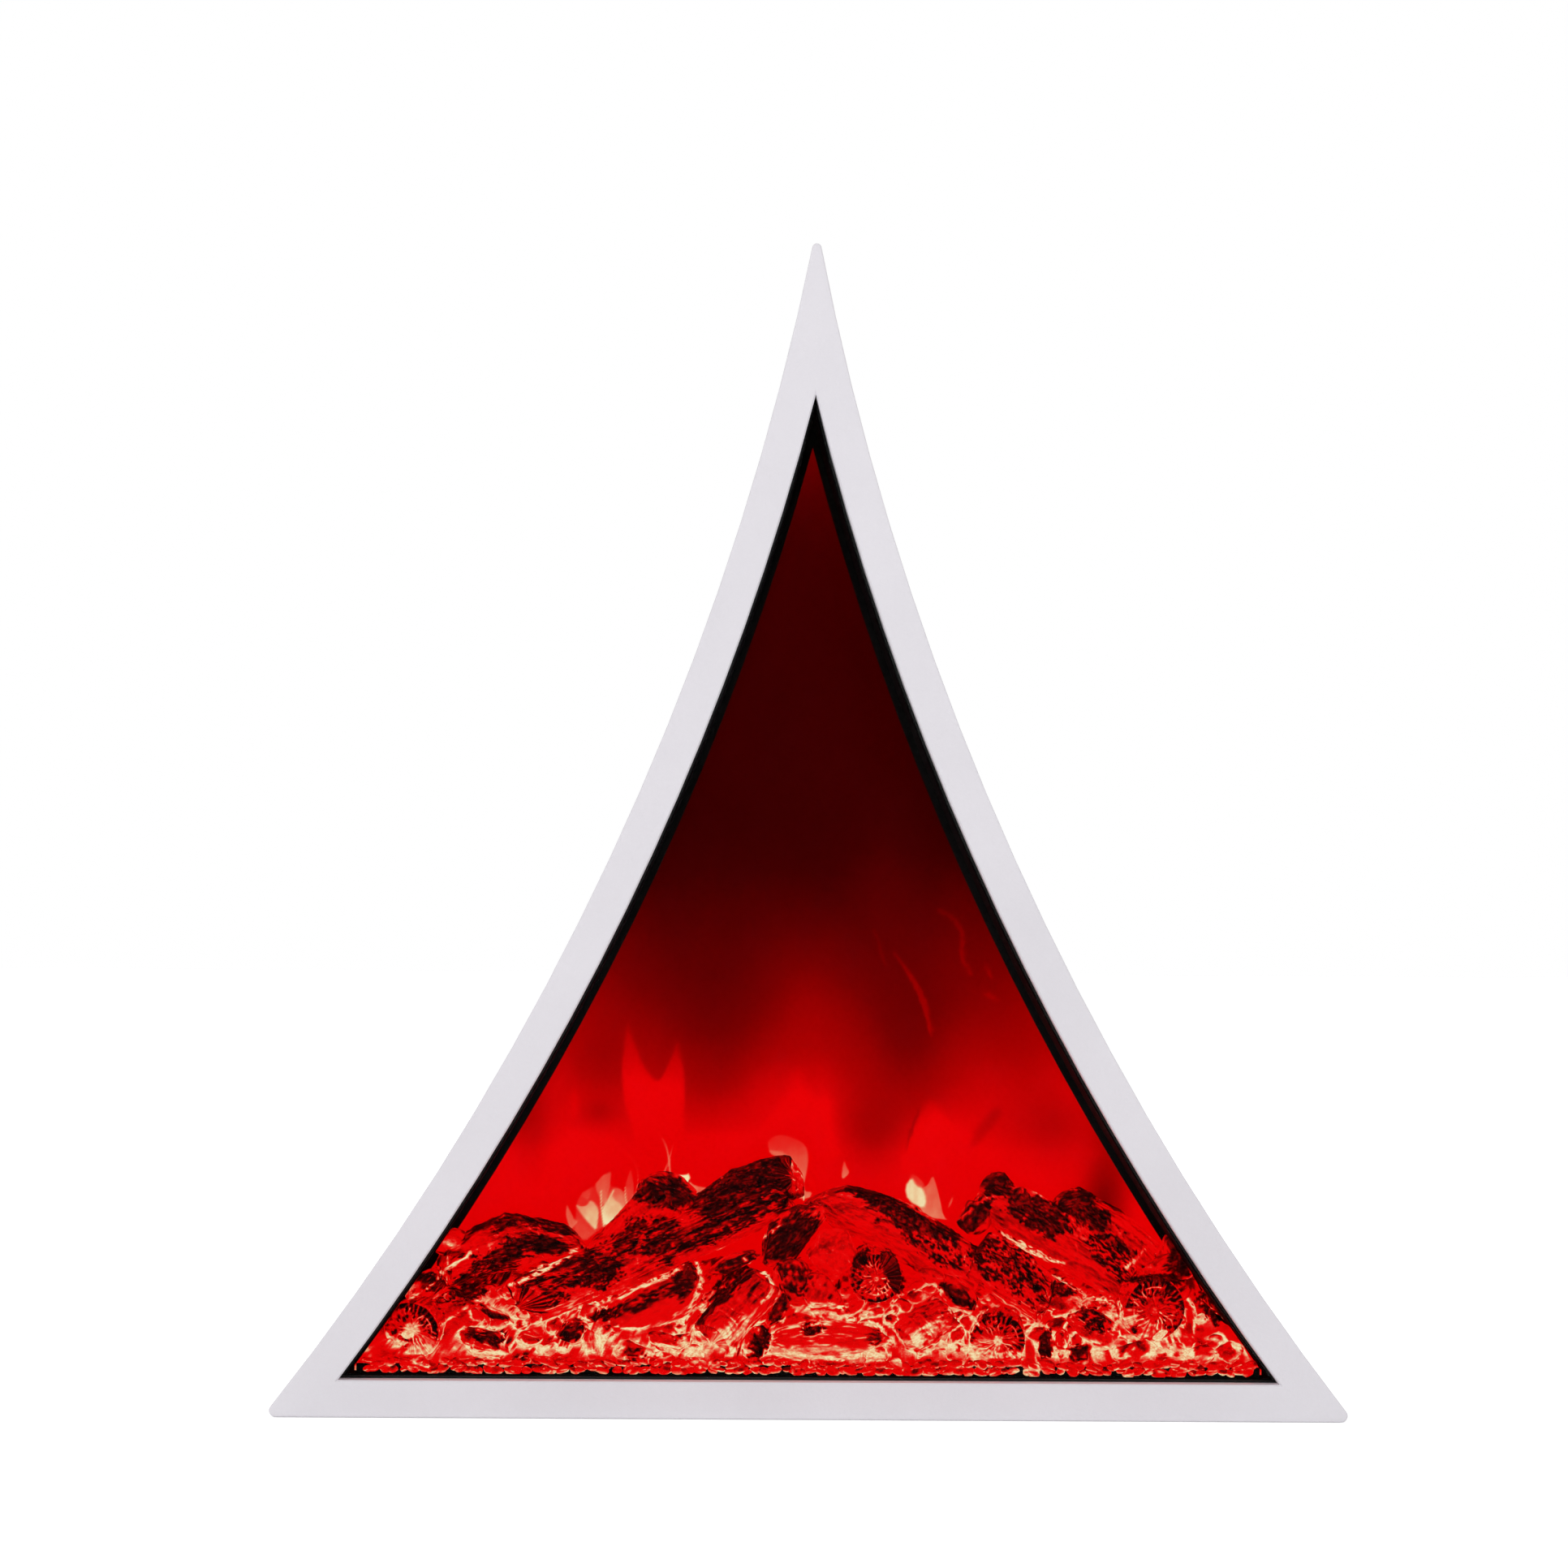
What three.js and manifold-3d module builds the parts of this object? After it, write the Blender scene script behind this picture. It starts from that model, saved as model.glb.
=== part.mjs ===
// Corner fireplace: an electric flame-effect fire with a concave triangular front.
// A painted trim frame holds the glass. Behind it are a black firebox with a bed of resin logs,
// a flame screen, the spinner that makes the flames flicker, a small fan heater and the controls.
// The housing is wide in front and folds in at 45 degrees behind, so that it fits a room corner.
//
// Millimetres, +Z up. Pieces are drawn in x (to the right), y (depth behind the front face) and z,
// and the whole group is then moved so that its origin is the middle of the box it stands in.

import * as THREE from "three";
import { mergeVertices } from "three/addons/utils/BufferGeometryUtils.js";
import Module from "manifold-3d";

const wasm = await Module();
wasm.setup();

// ---------------------------------------------------------------- driving dimensions

// Front outline: a base line and two sides that are arcs, curving inwards.
const sharpHalfWidth = 344.3; // from the middle to a base corner, before it is rounded
const sharpHeight = 756; // from the base to the tip, before it is rounded
const sideRadius = 1740; // of the outer edge of each side
const frameBand = 23.4; // width of the painted band
const cornerRadius = 4; // rounding of the frame's two base corners
const tipRadius = 3; // rounding of its tip

const gap = 0.3; // clearance between pieces that touch

const frameThickness = 20;
const frameBevel = 1; // chamfer round the front edges of the frame
const glassThickness = 4;
const rebateDepth = 5; // step behind the band that the glass sits in
const glassOverlap = 6.5; // glass hidden behind the band
const gasketThickness = 1.9;
const gasketReach = 1.2; // gasket seen past the band

const steel = 1.5; // housing sheet
const thinSteel = 1.2; // firebox sheet
const housingInset = 7; // housing wall inside the frame's outer edge
const frontFlange = 8.5; // width of the housing's flange behind the frame
const linerInset = 24.3; // firebox wall inside the frame's outer edge
const fireboxDepth = 84; // front face to the back of the firebox
const screenBorder = 4.5; // black border round the flame screen
const screenThickness = 3;

const sleeveDepth = 11; // housing behind the firebox before it folds in at 45 degrees
const ridgeHalfWidth = 6; // flat where the two flanks meet
const housingTopHalfWidth = 9; // the housing stops where it is this narrow
const backFlange = 12;

const padHeight = 3; // rubber pads, level with the frame's lower edge
const padRadius = 9;
const baseInset = 3;
const gussetHeight = 60;
const keyholeRadius = 4.5;

const stencilSpace = 6; // flame screen's retainer to the stencil
const opticsSpace = 6; // left free before and behind what the flicker vanes sweep
const rotorHeight = 62; // flicker spindle's axis
const rotorRadius = 22;
const vaneHalfWidth = 17;
const vaneTwist = 0.5; // radians that a vane is turned across the spindle
const rotorHalfLength = 168;
const rotorShaftRadius = 2.5;
const vaneCount = 4;
const runningGap = 0.3;

const motorRadius = 24;
const motorLength = 18;

const wheelRadius = 20; // blower wheel
const wheelSpace = 5; // wheel to the casing's front and back
const wheelHeight = 32;
const rearSpace = 8; // fan casing to the housing's back wall
const blowerLeft = -88;
const blowerRight = 76;

const inletX = -110;
const inletHeight = 60;
const switchHeight = 94;

const panelHeight = 175; // height of the middle of the control panel on the right side
const panelDepth = 55;
const panelLength = 74;
const panelWidth = 28;
const buttonRadius = 4.5;
const buttonPitch = 20;
const buttonTravel = 1.5;

// ---------------------------------------------------------------- derived places

const glassFront = frameThickness - rebateDepth + gap;
const gasketFront = glassFront + glassThickness + gap;
const flangeFront = frameThickness + gap; // housing's front flange
const linerFront = flangeFront + steel + gap;
const linerInner = linerInset + thinSteel;
const maskFront = fireboxDepth + gap;
const screenFront = maskFront + thinSteel + gap;
const retainerFront = screenFront + screenThickness + gap;
const stencilDepth = retainerFront + thinSteel + stencilSpace;
const rotorSweep = Math.hypot(rotorRadius, vaneHalfWidth * Math.sin(vaneTwist));
const rotorDepth = stencilDepth + thinSteel + opticsSpace + rotorSweep;
const scrollFront = rotorDepth + rotorSweep + opticsSpace;
const wheelDepth = scrollFront + wheelSpace + wheelRadius;
const scrollBack = wheelDepth + wheelRadius + wheelSpace;
const shoulderDepth = fireboxDepth + sleeveDepth;
const backDepth = scrollBack + rearSpace;
const coverFront = backDepth + gap;
const coverBack = coverFront + steel;
const inletFlangeThickness = 2.5;
const overallDepth = coverBack + gap + inletFlangeThickness;
const baseTop = padHeight + steel;
const floorTop = baseTop + gap; // lowest place for what stands on the base plate
const taperDepth = backDepth - shoulderDepth;

// The centre of the right side's arc lies outside the outline, on the middle normal of its chord.
const chord = Math.hypot(sharpHalfWidth, sharpHeight);
const centreReach = Math.sqrt(sideRadius ** 2 - chord ** 2 / 4);
const arcX = sharpHalfWidth / 2 + (centreReach * sharpHeight) / chord;
const arcZ = sharpHeight / 2 + (centreReach * sharpHalfWidth) / chord;

// Half the width of the outline at height z, for an outline set in by inset all round.
const halfWidth = (z, inset) => arcX - Math.sqrt((sideRadius + inset) ** 2 - (z - arcZ) ** 2);

// Height at which an outline set in by inset is half as wide as half.
const heightAt = (half, inset) => arcZ - Math.sqrt((sideRadius + inset) ** 2 - (arcX - half) ** 2);

const housingTop = heightAt(housingTopHalfWidth, housingInset);
const ringTop = housingTop - 12; // sheet rings inside the housing stop here
const coverTop = heightAt(taperDepth + ridgeHalfWidth, housingInset);
const coverBottom = baseTop + 4;

// The control panel lies along the housing's right side: how far it leans in, and how far it
// stands off the middle of the hollow side so that its ends clear it.
const panelTurn = Math.asin((arcZ - panelHeight) / (sideRadius + housingInset));
const panelRise = panelLength ** 2 / (8 * sideRadius) + gap;

// ---------------------------------------------------------------- solids

function solidOf(geometry) {
  const bare = geometry.index ? geometry.toNonIndexed() : geometry.clone();
  bare.deleteAttribute("normal");
  bare.deleteAttribute("uv");
  const merged = mergeVertices(bare, 1e-4);
  return new wasm.Manifold(
    new wasm.Mesh({
      numProp: 3,
      vertProperties: merged.attributes.position.array,
      triVerts: new Uint32Array(merged.index.array),
    }),
  );
}

function geometryOf(solid) {
  const mesh = solid.getMesh();
  const positions = new Float32Array(mesh.numVert * 3);
  for (let i = 0; i < mesh.numVert; i++) {
    positions.set(mesh.vertProperties.subarray(i * mesh.numProp, i * mesh.numProp + 3), i * 3);
  }
  const geometry = new THREE.BufferGeometry();
  geometry.setAttribute("position", new THREE.BufferAttribute(positions, 3));
  geometry.setIndex(new THREE.BufferAttribute(new Uint32Array(mesh.triVerts), 1));
  geometry.computeVertexNormals();
  return geometry;
}

const join = (first, ...rest) =>
  geometryOf(rest.reduce((sum, next) => sum.add(solidOf(next)), solidOf(first)));

const cut = (body, ...tools) =>
  geometryOf(tools.reduce((left, tool) => left.subtract(solidOf(tool)), solidOf(body)));

const common = (a, b) => geometryOf(solidOf(a).intersect(solidOf(b)));

// The largest single piece of a geometry, for a shape that a cut may leave crumbs of.
function largest(geometry) {
  const pieces = solidOf(geometry).decompose();
  pieces.sort((a, b) => b.volume() - a.volume());
  return geometryOf(pieces[0]);
}

// ---------------------------------------------------------------- basic shapes

// A box given by its lowest and highest corner.
function box(x0, y0, z0, x1, y1, z1) {
  const geometry = new THREE.BoxGeometry(x1 - x0, y1 - y0, z1 - z0);
  return geometry.translate((x0 + x1) / 2, (y0 + y1) / 2, (z0 + z1) / 2);
}

// A round bar along X, Y or Z, from one coordinate to another, centred on the other two.
function bar(axis, radius, from, to, a, b, sides = 20) {
  const geometry = new THREE.CylinderGeometry(radius, radius, to - from, sides);
  const middle = (from + to) / 2;
  if (axis === "x") return geometry.rotateZ(-Math.PI / 2).translate(middle, a, b);
  if (axis === "y") return geometry.translate(a, middle, b);
  return geometry.rotateX(Math.PI / 2).translate(a, b, middle);
}

// A flat sheet in the x, z plane: an outline with holes, thickened backwards from a depth.
function sheet(outline, holes, depth, thickness) {
  const shape = new THREE.Shape(outline);
  shape.holes = holes.map((hole) => new THREE.Path(hole));
  const geometry = new THREE.ExtrudeGeometry(shape, { depth: thickness, bevelEnabled: false });
  return geometry.rotateX(Math.PI / 2).translate(0, depth + thickness, 0);
}

// The triangle's outline, set in from the outer edge by side and from the base line by base,
// with its base corners and its tip rounded. A top cuts it off level at that height.
function outline({ side, base = side, radius = 0, tip = radius, top = Infinity }) {
  const sideSteps = 18;
  const cornerSteps = 5;
  const reach = sideRadius + side;
  const baseX = halfWidth(base + radius, side + radius);
  const tipZ = arcZ - Math.sqrt((reach + tip) ** 2 - arcX ** 2);
  const baseAngle = Math.atan2(arcZ - (base + radius), arcX - baseX);
  const tipAngle = Math.atan2(arcZ - tipZ, arcX);
  const flat = tipZ > top;
  const endAngle = flat ? Math.asin((arcZ - top) / reach) : tipAngle;
  const right = [];
  for (let i = 0; radius > 0 && i < cornerSteps; i++) {
    const angle = -Math.PI / 2 + ((baseAngle + Math.PI / 2) * i) / cornerSteps;
    right.push([baseX + radius * Math.cos(angle), base + radius + radius * Math.sin(angle)]);
  }
  for (let i = 0; i <= sideSteps; i++) {
    const angle = baseAngle + ((endAngle - baseAngle) * i) / sideSteps;
    right.push([arcX - reach * Math.cos(angle), arcZ - reach * Math.sin(angle)]);
  }
  for (let i = 1; tip > 0 && !flat && i < cornerSteps; i++) {
    const angle = tipAngle + ((Math.PI / 2 - tipAngle) * i) / cornerSteps;
    right.push([tip * Math.cos(angle), tipZ + tip * Math.sin(angle)]);
  }
  if (!flat && tip === 0) right.pop(); // the sharp tip is added once, below
  const point = flat ? [] : [[0, tipZ + tip]];
  const left = right.map(([x, z]) => [-x, z]).reverse();
  return [...right, ...point, ...left].map(([x, z]) => new THREE.Vector2(x, z));
}

// A closed body through sections: lists of points, all as long, each one counter-clockwise
// seen from the end that the sections run towards.
function loft(sections) {
  const count = sections[0].length;
  const positions = sections.flat().flatMap((p) => [p.x, p.y, p.z]);
  const index = [];
  for (let s = 0; s + 1 < sections.length; s++) {
    for (let i = 0; i < count; i++) {
      const a = s * count + i;
      const b = s * count + ((i + 1) % count);
      index.push(a, b, b + count, a, b + count, a + count);
    }
  }
  const capOf = (section) => {
    const normal = new THREE.Vector3();
    section.forEach((p, i) => normal.add(p.clone().cross(section[(i + 1) % count])));
    normal.normalize();
    const across = new THREE.Vector3().subVectors(section[1], section[0]).normalize();
    const along = normal.clone().cross(across);
    const flat = section.map((p) => new THREE.Vector2(p.dot(across), p.dot(along)));
    return THREE.ShapeUtils.triangulateShape(flat, []);
  };
  const last = (sections.length - 1) * count;
  capOf(sections[0]).forEach(([a, b, c]) => index.push(c, b, a));
  capOf(sections.at(-1)).forEach(([a, b, c]) => index.push(last + a, last + b, last + c));
  const geometry = new THREE.BufferGeometry();
  geometry.setAttribute("position", new THREE.Float32BufferAttribute(positions, 3));
  geometry.setIndex(index);
  return geometry;
}

// A geometry seen in a mirror at x = 0, with its faces turned to point out again.
function mirrored(geometry) {
  const copy = geometry.index ? geometry.toNonIndexed() : geometry.clone();
  copy.scale(-1, 1, 1);
  const p = copy.attributes.position;
  for (let i = 0; i < p.count; i += 3) {
    const second = [p.getX(i + 1), p.getY(i + 1), p.getZ(i + 1)];
    p.setXYZ(i + 1, p.getX(i + 2), p.getY(i + 2), p.getZ(i + 2));
    p.setXYZ(i + 2, ...second);
  }
  return copy;
}

// The same small irregularities each time: a number from 0 to 1 for a whole-number seed.
function scatter(seed) {
  const s = Math.sin(seed * 127.1 + 311.7) * 43758.5453;
  return s - Math.floor(s);
}

// ---------------------------------------------------------------- materials

const material = (color, roughness, metalness = 0) =>
  new THREE.MeshStandardMaterial({ color, roughness, metalness });

const whitePaint = material(0xdcd7dd, 0.45);
const clearGlass = new THREE.MeshStandardMaterial({
  color: 0xe8f2f0,
  roughness: 0.05,
  transparent: true,
  opacity: 0.3,
});
const blackRubber = material(0x141414, 0.85);
const blackSteel = material(0x0d0d0e, 0.55, 0.4);
const screenAcrylic = material(0x8c0404, 0.25);
const emberResin = material(0xd8331a, 0.6);
const charredResin = material(0x2a0c0a, 0.8);
const brightMetal = material(0xb9bcc0, 0.3, 0.9);
const whitePlastic = material(0xe6e4df, 0.5);
const blackPlastic = material(0x17171a, 0.5);
const boardGreen = material(0x1f5a37, 0.5);
const heaterCeramic = material(0x9a938a, 0.7);

// ---------------------------------------------------------------- the object

const fireplace = new THREE.Group();
fireplace.position.y = -overallDepth / 2;

function add(name, geometry, finish, parent = fireplace) {
  const mesh = new THREE.Mesh(geometry, finish);
  mesh.name = name;
  parent.add(mesh);
  return mesh;
}

// ---------------------------------------------------------------- front: frame, glass and seal

function frontFrame() {
  const at = (points, depth) => points.map((p) => new THREE.Vector3(p.x, depth, p.y));
  const edge = (inset, depth) =>
    at(outline({ side: inset, radius: cornerRadius - inset, tip: tipRadius - inset }), depth);
  const hole = (inset, depth) => at(outline({ side: inset }), depth);
  const body = loft([
    edge(0, frameThickness),
    edge(0, frameBevel),
    edge(frameBevel * 0.3, frameBevel * 0.3),
    edge(frameBevel, 0),
  ]);
  const opening = loft([
    hole(frameBand, frameThickness + 1),
    hole(frameBand, frameBevel),
    hole(frameBand - 2 * frameBevel, -frameBevel),
  ]);
  const rebate = sheet(
    outline({ side: frameBand - glassOverlap - 1, radius: 3 }),
    [],
    frameThickness - rebateDepth,
    rebateDepth + 1,
  );
  return cut(body, opening, rebate);
}
add("front_frame", frontFrame(), whitePaint);

const glassInset = frameBand - glassOverlap;
const glassEdge = outline({ side: glassInset, radius: 3 });
add("front_glass", sheet(glassEdge, [], glassFront, glassThickness), clearGlass);
const gasketHole = outline({ side: frameBand + gasketReach });
add("glass_gasket", sheet(glassEdge, [gasketHole], gasketFront, gasketThickness), blackRubber);

// ---------------------------------------------------------------- firebox

// A wall that follows the outline: a tube along the depth, and a flange at each end.
function fireboxLiner() {
  const inner = outline({ side: linerInner });
  const wall = sheet(outline({ side: linerInset }), [inner], linerFront, fireboxDepth - linerFront);
  const front = sheet(
    outline({ side: housingInset + steel + 1, base: baseTop + 5, radius: 2, top: ringTop }),
    [inner],
    linerFront,
    thinSteel,
  );
  const back = sheet(
    outline({ side: linerInset - 10, radius: 2, top: ringTop }),
    [inner],
    fireboxDepth - thinSteel,
    thinSteel,
  );
  return join(wall, front, back);
}
add("firebox_liner", fireboxLiner(), blackSteel);

const ringEdge = outline({ side: linerInset - 10, radius: 2, top: ringTop });
const maskHole = outline({ side: linerInner + screenBorder });
add("screen_mask", sheet(ringEdge, [maskHole], maskFront, thinSteel), blackSteel);

const screenEdge = outline({ side: linerInset - 5, radius: 2 });
add("flame_screen", sheet(screenEdge, [], screenFront, screenThickness), screenAcrylic);
const retainerHole = outline({ side: linerInner });
add("screen_retainer", sheet(ringEdge, [retainerHole], retainerFront, thinSteel), blackSteel);

// ---------------------------------------------------------------- ember bed and logs

const trayBottom = linerInner + gap;
const trayTop = trayBottom + thinSteel;
const trayFront = linerFront + thinSteel + 1.5;
const trayBack = fireboxDepth - 2.5;
const trayLip = 5;

function emberTray() {
  const half = halfWidth(trayTop + trayLip, linerInner) - 1;
  const floor = box(-half, trayFront, trayBottom, half, trayBack, trayTop);
  const lipTop = trayTop + trayLip;
  const frontLip = box(-half, trayFront, trayBottom, half, trayFront + thinSteel, lipTop);
  const backLip = box(-half, trayBack - thinSteel, trayBottom, half, trayBack, lipTop);
  return join(floor, frontLip, backLip);
}
add("ember_tray", emberTray(), blackSteel);

function emberLedBoard() {
  const length = 440;
  const lamps = 8;
  const bottom = trayTop + gap;
  let board = box(-length / 2, 42, bottom, length / 2, 66, bottom + 1.6);
  for (let i = 0; i < lamps; i++) {
    const x = (i + 0.5 - lamps / 2) * (length / lamps);
    board = join(board, box(x - 3, 51, bottom + 1, x + 3, 57, bottom + 3.6));
  }
  return board;
}
add("ember_led_board", emberLedBoard(), boardGreen);

// Each log is an irregular, tapered bar between two end points. A point is x, its share of the
// way from the front of the bed to the back, and z. The round ends lie along the depth.
const logs = [
  { name: "log_rear_left", from: [-234, 0.63, 89], to: [-148, 0.7, 110], r0: 15, r1: 14 },
  { name: "log_long_left", from: [-185, 0.4, 66], to: [-14, 0.59, 137], r0: 17, r1: 15 },
  { name: "log_top_left", from: [-74, 0.78, 131], to: [-14, 0.74, 148], r0: 13, r1: 13.5 },
  { name: "log_stub_left", from: [-136, 0.8, 95], to: [-92, 0.76, 136], r0: 12, r1: 13 },
  { name: "log_long_right", from: [14, 0.67, 137], to: [111, 0.55, 88], r0: 15, r1: 16 },
  { name: "log_rear_right", from: [112, 0.7, 140], to: [208, 0.55, 80], r0: 13, r1: 15 },
  { name: "log_end_right", from: [170, 0.78, 132], to: [224, 0.7, 94], r0: 12, r1: 14 },
  { name: "log_block_right", from: [106, 0.37, 101], to: [153, 0.29, 71], r0: 16, r1: 16 },
  { name: "log_round_right", from: [223, 0.08, 66], to: [216, 0.59, 69], r0: 20, r1: 18 },
  { name: "log_round_centre", from: [42, 0.16, 83], to: [40, 0.59, 89], r0: 17.5, r1: 16 },
  { name: "log_round_low", from: [120, 0.05, 46], to: [122, 0.44, 52], r0: 18, r1: 16 },
  { name: "log_round_left", from: [-254, 0.06, 52], to: [-248, 0.44, 56], r0: 17, r1: 16 },
  { name: "log_chunk_centre", from: [-62, 0.22, 44], to: [-27, 0.4, 86], r0: 17, r1: 14 },
  { name: "log_chunk_right", from: [62, 0.2, 45], to: [90, 0.32, 64], r0: 15, r1: 13.5 },
];

function roughLog({ from, to, r0, r1 }, seed, grow) {
  const sides = 9;
  const rings = 5;
  const place = ([x, share, z]) => new THREE.Vector3(x, bedFront + share * (bedBack - bedFront), z);
  const start = place(from);
  const end = place(to);
  const axis = end.clone().sub(start).normalize();
  start.addScaledVector(axis, -grow);
  end.addScaledVector(axis, grow);
  const up = Math.abs(axis.z) < 0.9 ? new THREE.Vector3(0, 0, 1) : new THREE.Vector3(1, 0, 0);
  const across = up.clone().cross(axis).normalize();
  const over = axis.clone().cross(across);
  const sections = [];
  for (let r = 0; r < rings; r++) {
    const share = r / (rings - 1);
    const middle = start.clone().lerp(end, share);
    const mean = r0 + (r1 - r0) * share;
    const section = [];
    for (let s = 0; s < sides; s++) {
      const angle = (2 * Math.PI * s) / sides;
      const lump = 0.9 + 0.1 * scatter(seed * 97 + s * 7 + (r % 2));
      const radius = mean * lump + grow;
      section.push(
        middle
          .clone()
          .addScaledVector(across, radius * Math.cos(angle))
          .addScaledVector(over, radius * Math.sin(angle)),
      );
    }
    sections.push(section);
  }
  return loft(sections);
}

// What the firebox leaves free for the bed and the logs, with its clearance.
const fireRoom = sheet(
  outline({ side: linerInner + 2 * gap, base: trayTop + gap }),
  [],
  trayFront + thinSteel + gap,
  trayBack - 2 * thinSteel - trayFront - 2 * gap,
);

// The bed is a translucent resin shell: low in front, high behind, uneven on top, hollow below.
const bedFront = trayFront + thinSteel + 2 * gap;
const bedBack = trayBack - thinSteel - 2 * gap;
const bedWall = 4;
const bedRise = (x, y) => {
  const back = (y - bedFront) / (bedBack - bedFront);
  const waves = 4 * Math.sin(x / 17) * Math.sin(y / 11 + 1) + 3 * Math.sin(x / 7.3 + 2);
  return 36 + 58 * back ** 0.8 + waves;
};

function mound(lower, inset, bottom) {
  const columns = 40;
  const rows = 5;
  const half = sharpHalfWidth;
  const sections = [];
  for (let c = 0; c <= columns; c++) {
    const x = -half + (2 * half * c) / columns;
    const section = [new THREE.Vector3(x, bedFront + inset, bottom)];
    section.push(new THREE.Vector3(x, bedBack - inset, bottom));
    for (let r = rows; r >= 0; r--) {
      const y = bedFront + inset + ((bedBack - bedFront - 2 * inset) * r) / rows;
      section.push(new THREE.Vector3(x, y, bedRise(x, y) - lower));
    }
    sections.push(section);
  }
  return loft(sections);
}

// A log that a neighbour crosses is notched by it, as the castings are, with clearance.
const logBodies = [];
logs.forEach((log, i) => {
  const others = logBodies.map((_, j) => roughLog(logs[j], j + 1, gap));
  const body = cut(common(roughLog(log, i + 1, 0), fireRoom), ...others);
  logBodies.push(largest(body));
});

function emberBed() {
  const bottom = trayTop + gap;
  const hollow = mound(2 * bedWall, bedWall, bottom - 1);
  const hollowRoom = sheet(outline({ side: linerInner + bedWall + 4, base: bottom - 1 }), [], 0, 200);
  const shell = cut(common(mound(0, 0, bottom), fireRoom), common(hollow, hollowRoom));
  return largest(cut(shell, ...logs.map((log, i) => roughLog(log, i + 1, gap))));
}
add("ember_bed", emberBed(), emberResin);
logs.forEach((log, i) => add(log.name, logBodies[i], charredResin));

// ---------------------------------------------------------------- flame optics

// A sheet with flame-shaped windows, standing on a folded foot.
function flameStencil() {
  const top = 300;
  const tongues = [
    { x: -150, z: 120, width: 30, height: 70, lean: 6 },
    { x: -95, z: 112, width: 34, height: 105, lean: -8 },
    { x: -42, z: 118, width: 28, height: 80, lean: 7 },
    { x: 6, z: 112, width: 36, height: 130, lean: 5 },
    { x: 58, z: 118, width: 28, height: 85, lean: -6 },
    { x: 106, z: 112, width: 34, height: 95, lean: 8 },
    { x: 158, z: 120, width: 26, height: 62, lean: -5 },
  ];
  const flame = ({ x, z, width, height, lean }) => {
    const steps = 8;
    const points = [];
    for (let i = 0; i <= 2 * steps; i++) {
      const up = 1 - Math.abs(i - steps) / steps;
      const edge = i <= steps ? 1 : -1;
      const half = (width / 2) * Math.sin(Math.PI * (0.12 + 0.88 * up)) ** 0.8;
      points.push(new THREE.Vector2(x + lean * up ** 2 + edge * half, z + height * up));
    }
    return points.filter((p, i) => i !== steps).toSpliced(steps, 0, points[steps]);
  };
  const plate = sheet(
    outline({ side: linerInner + 16, base: floorTop, top }),
    tongues.map(flame),
    stencilDepth,
    thinSteel,
  );
  const half = 180;
  const foot = box(-half, stencilDepth, floorTop, half, stencilDepth + 12, floorTop + thinSteel);
  return join(plate, foot);
}
add("flame_stencil", flameStencil(), blackSteel);

function flameLedBar() {
  const lamps = 8;
  const half = 150;
  let bar = box(-half, rotorDepth - 8, floorTop, half, rotorDepth + 10, floorTop + 9);
  for (let i = 0; i < lamps; i++) {
    const x = (i + 0.5 - lamps / 2) * ((2 * half) / lamps);
    bar = join(bar, box(x - 3, rotorDepth - 3, floorTop + 8, x + 3, rotorDepth + 3, floorTop + 12));
  }
  return bar;
}
add("flame_led_bar", flameLedBar(), brightMetal);

// The rotor: a spindle with star-shaped mirror vanes, a coupling and the motor that turns it.
const couplingFrom = rotorHalfLength - 10;
const couplingTo = rotorHalfLength + 14;
const motorPlate = rotorHalfLength + 16;
const bearingPlate = -rotorHalfLength + 4;

function rotorVane() {
  const hub = bar("x", 5, -5, 5, 0, 0, 12);
  const blades = [0, 1, 2, 3].map((turn) => {
    const blade = new THREE.BoxGeometry(2 * vaneHalfWidth, 0.8, rotorRadius - 3);
    blade.translate(0, 0, (rotorRadius + 3) / 2);
    blade.rotateZ(vaneTwist);
    return blade.rotateX((turn * Math.PI) / 2);
  });
  return cut(join(hub, ...blades), bar("x", rotorShaftRadius + runningGap, -30, 30, 0, 0, 12));
}
const rotor = new THREE.Group();
rotor.position.set(0, rotorDepth, rotorHeight);
fireplace.add(rotor);
const spindle = bar("x", rotorShaftRadius, -rotorHalfLength, rotorHalfLength, 0, 0, 12);
add("rotor_shaft", spindle, brightMetal, rotor);
for (let i = 0; i < vaneCount; i++) {
  const vane = add(`rotor_vane_${i + 1}`, rotorVane(), brightMetal, rotor);
  vane.position.x = (i + 0.5 - vaneCount / 2) * ((2 * rotorHalfLength - 56) / vaneCount);
  vane.rotation.x = (i * Math.PI) / 6;
}
const sleeve = bar("x", 6, couplingFrom, couplingTo, 0, 0, 16);
const sleeveBore = bar("x", rotorShaftRadius + runningGap, couplingFrom - 1, couplingTo + 1, 0, 0, 12);
add("rotor_coupling", cut(sleeve, sleeveBore), blackRubber, rotor);

function bracketPlate(at, holeRadius, towards) {
  const front = rotorDepth - 18;
  const back = rotorDepth + 18;
  const upright = box(at, front, floorTop, at + steel, back, rotorHeight + 20);
  const footFrom = towards > 0 ? at : at + steel - 16;
  const foot = box(footFrom, front, floorTop, footFrom + 16, back, floorTop + steel);
  const hole = bar("x", holeRadius, at - 5, at + 5, rotorDepth, rotorHeight, 20);
  return cut(join(upright, foot), hole);
}
add("bearing_bracket", bracketPlate(bearingPlate, 4.8, -1), brightMetal);

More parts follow.
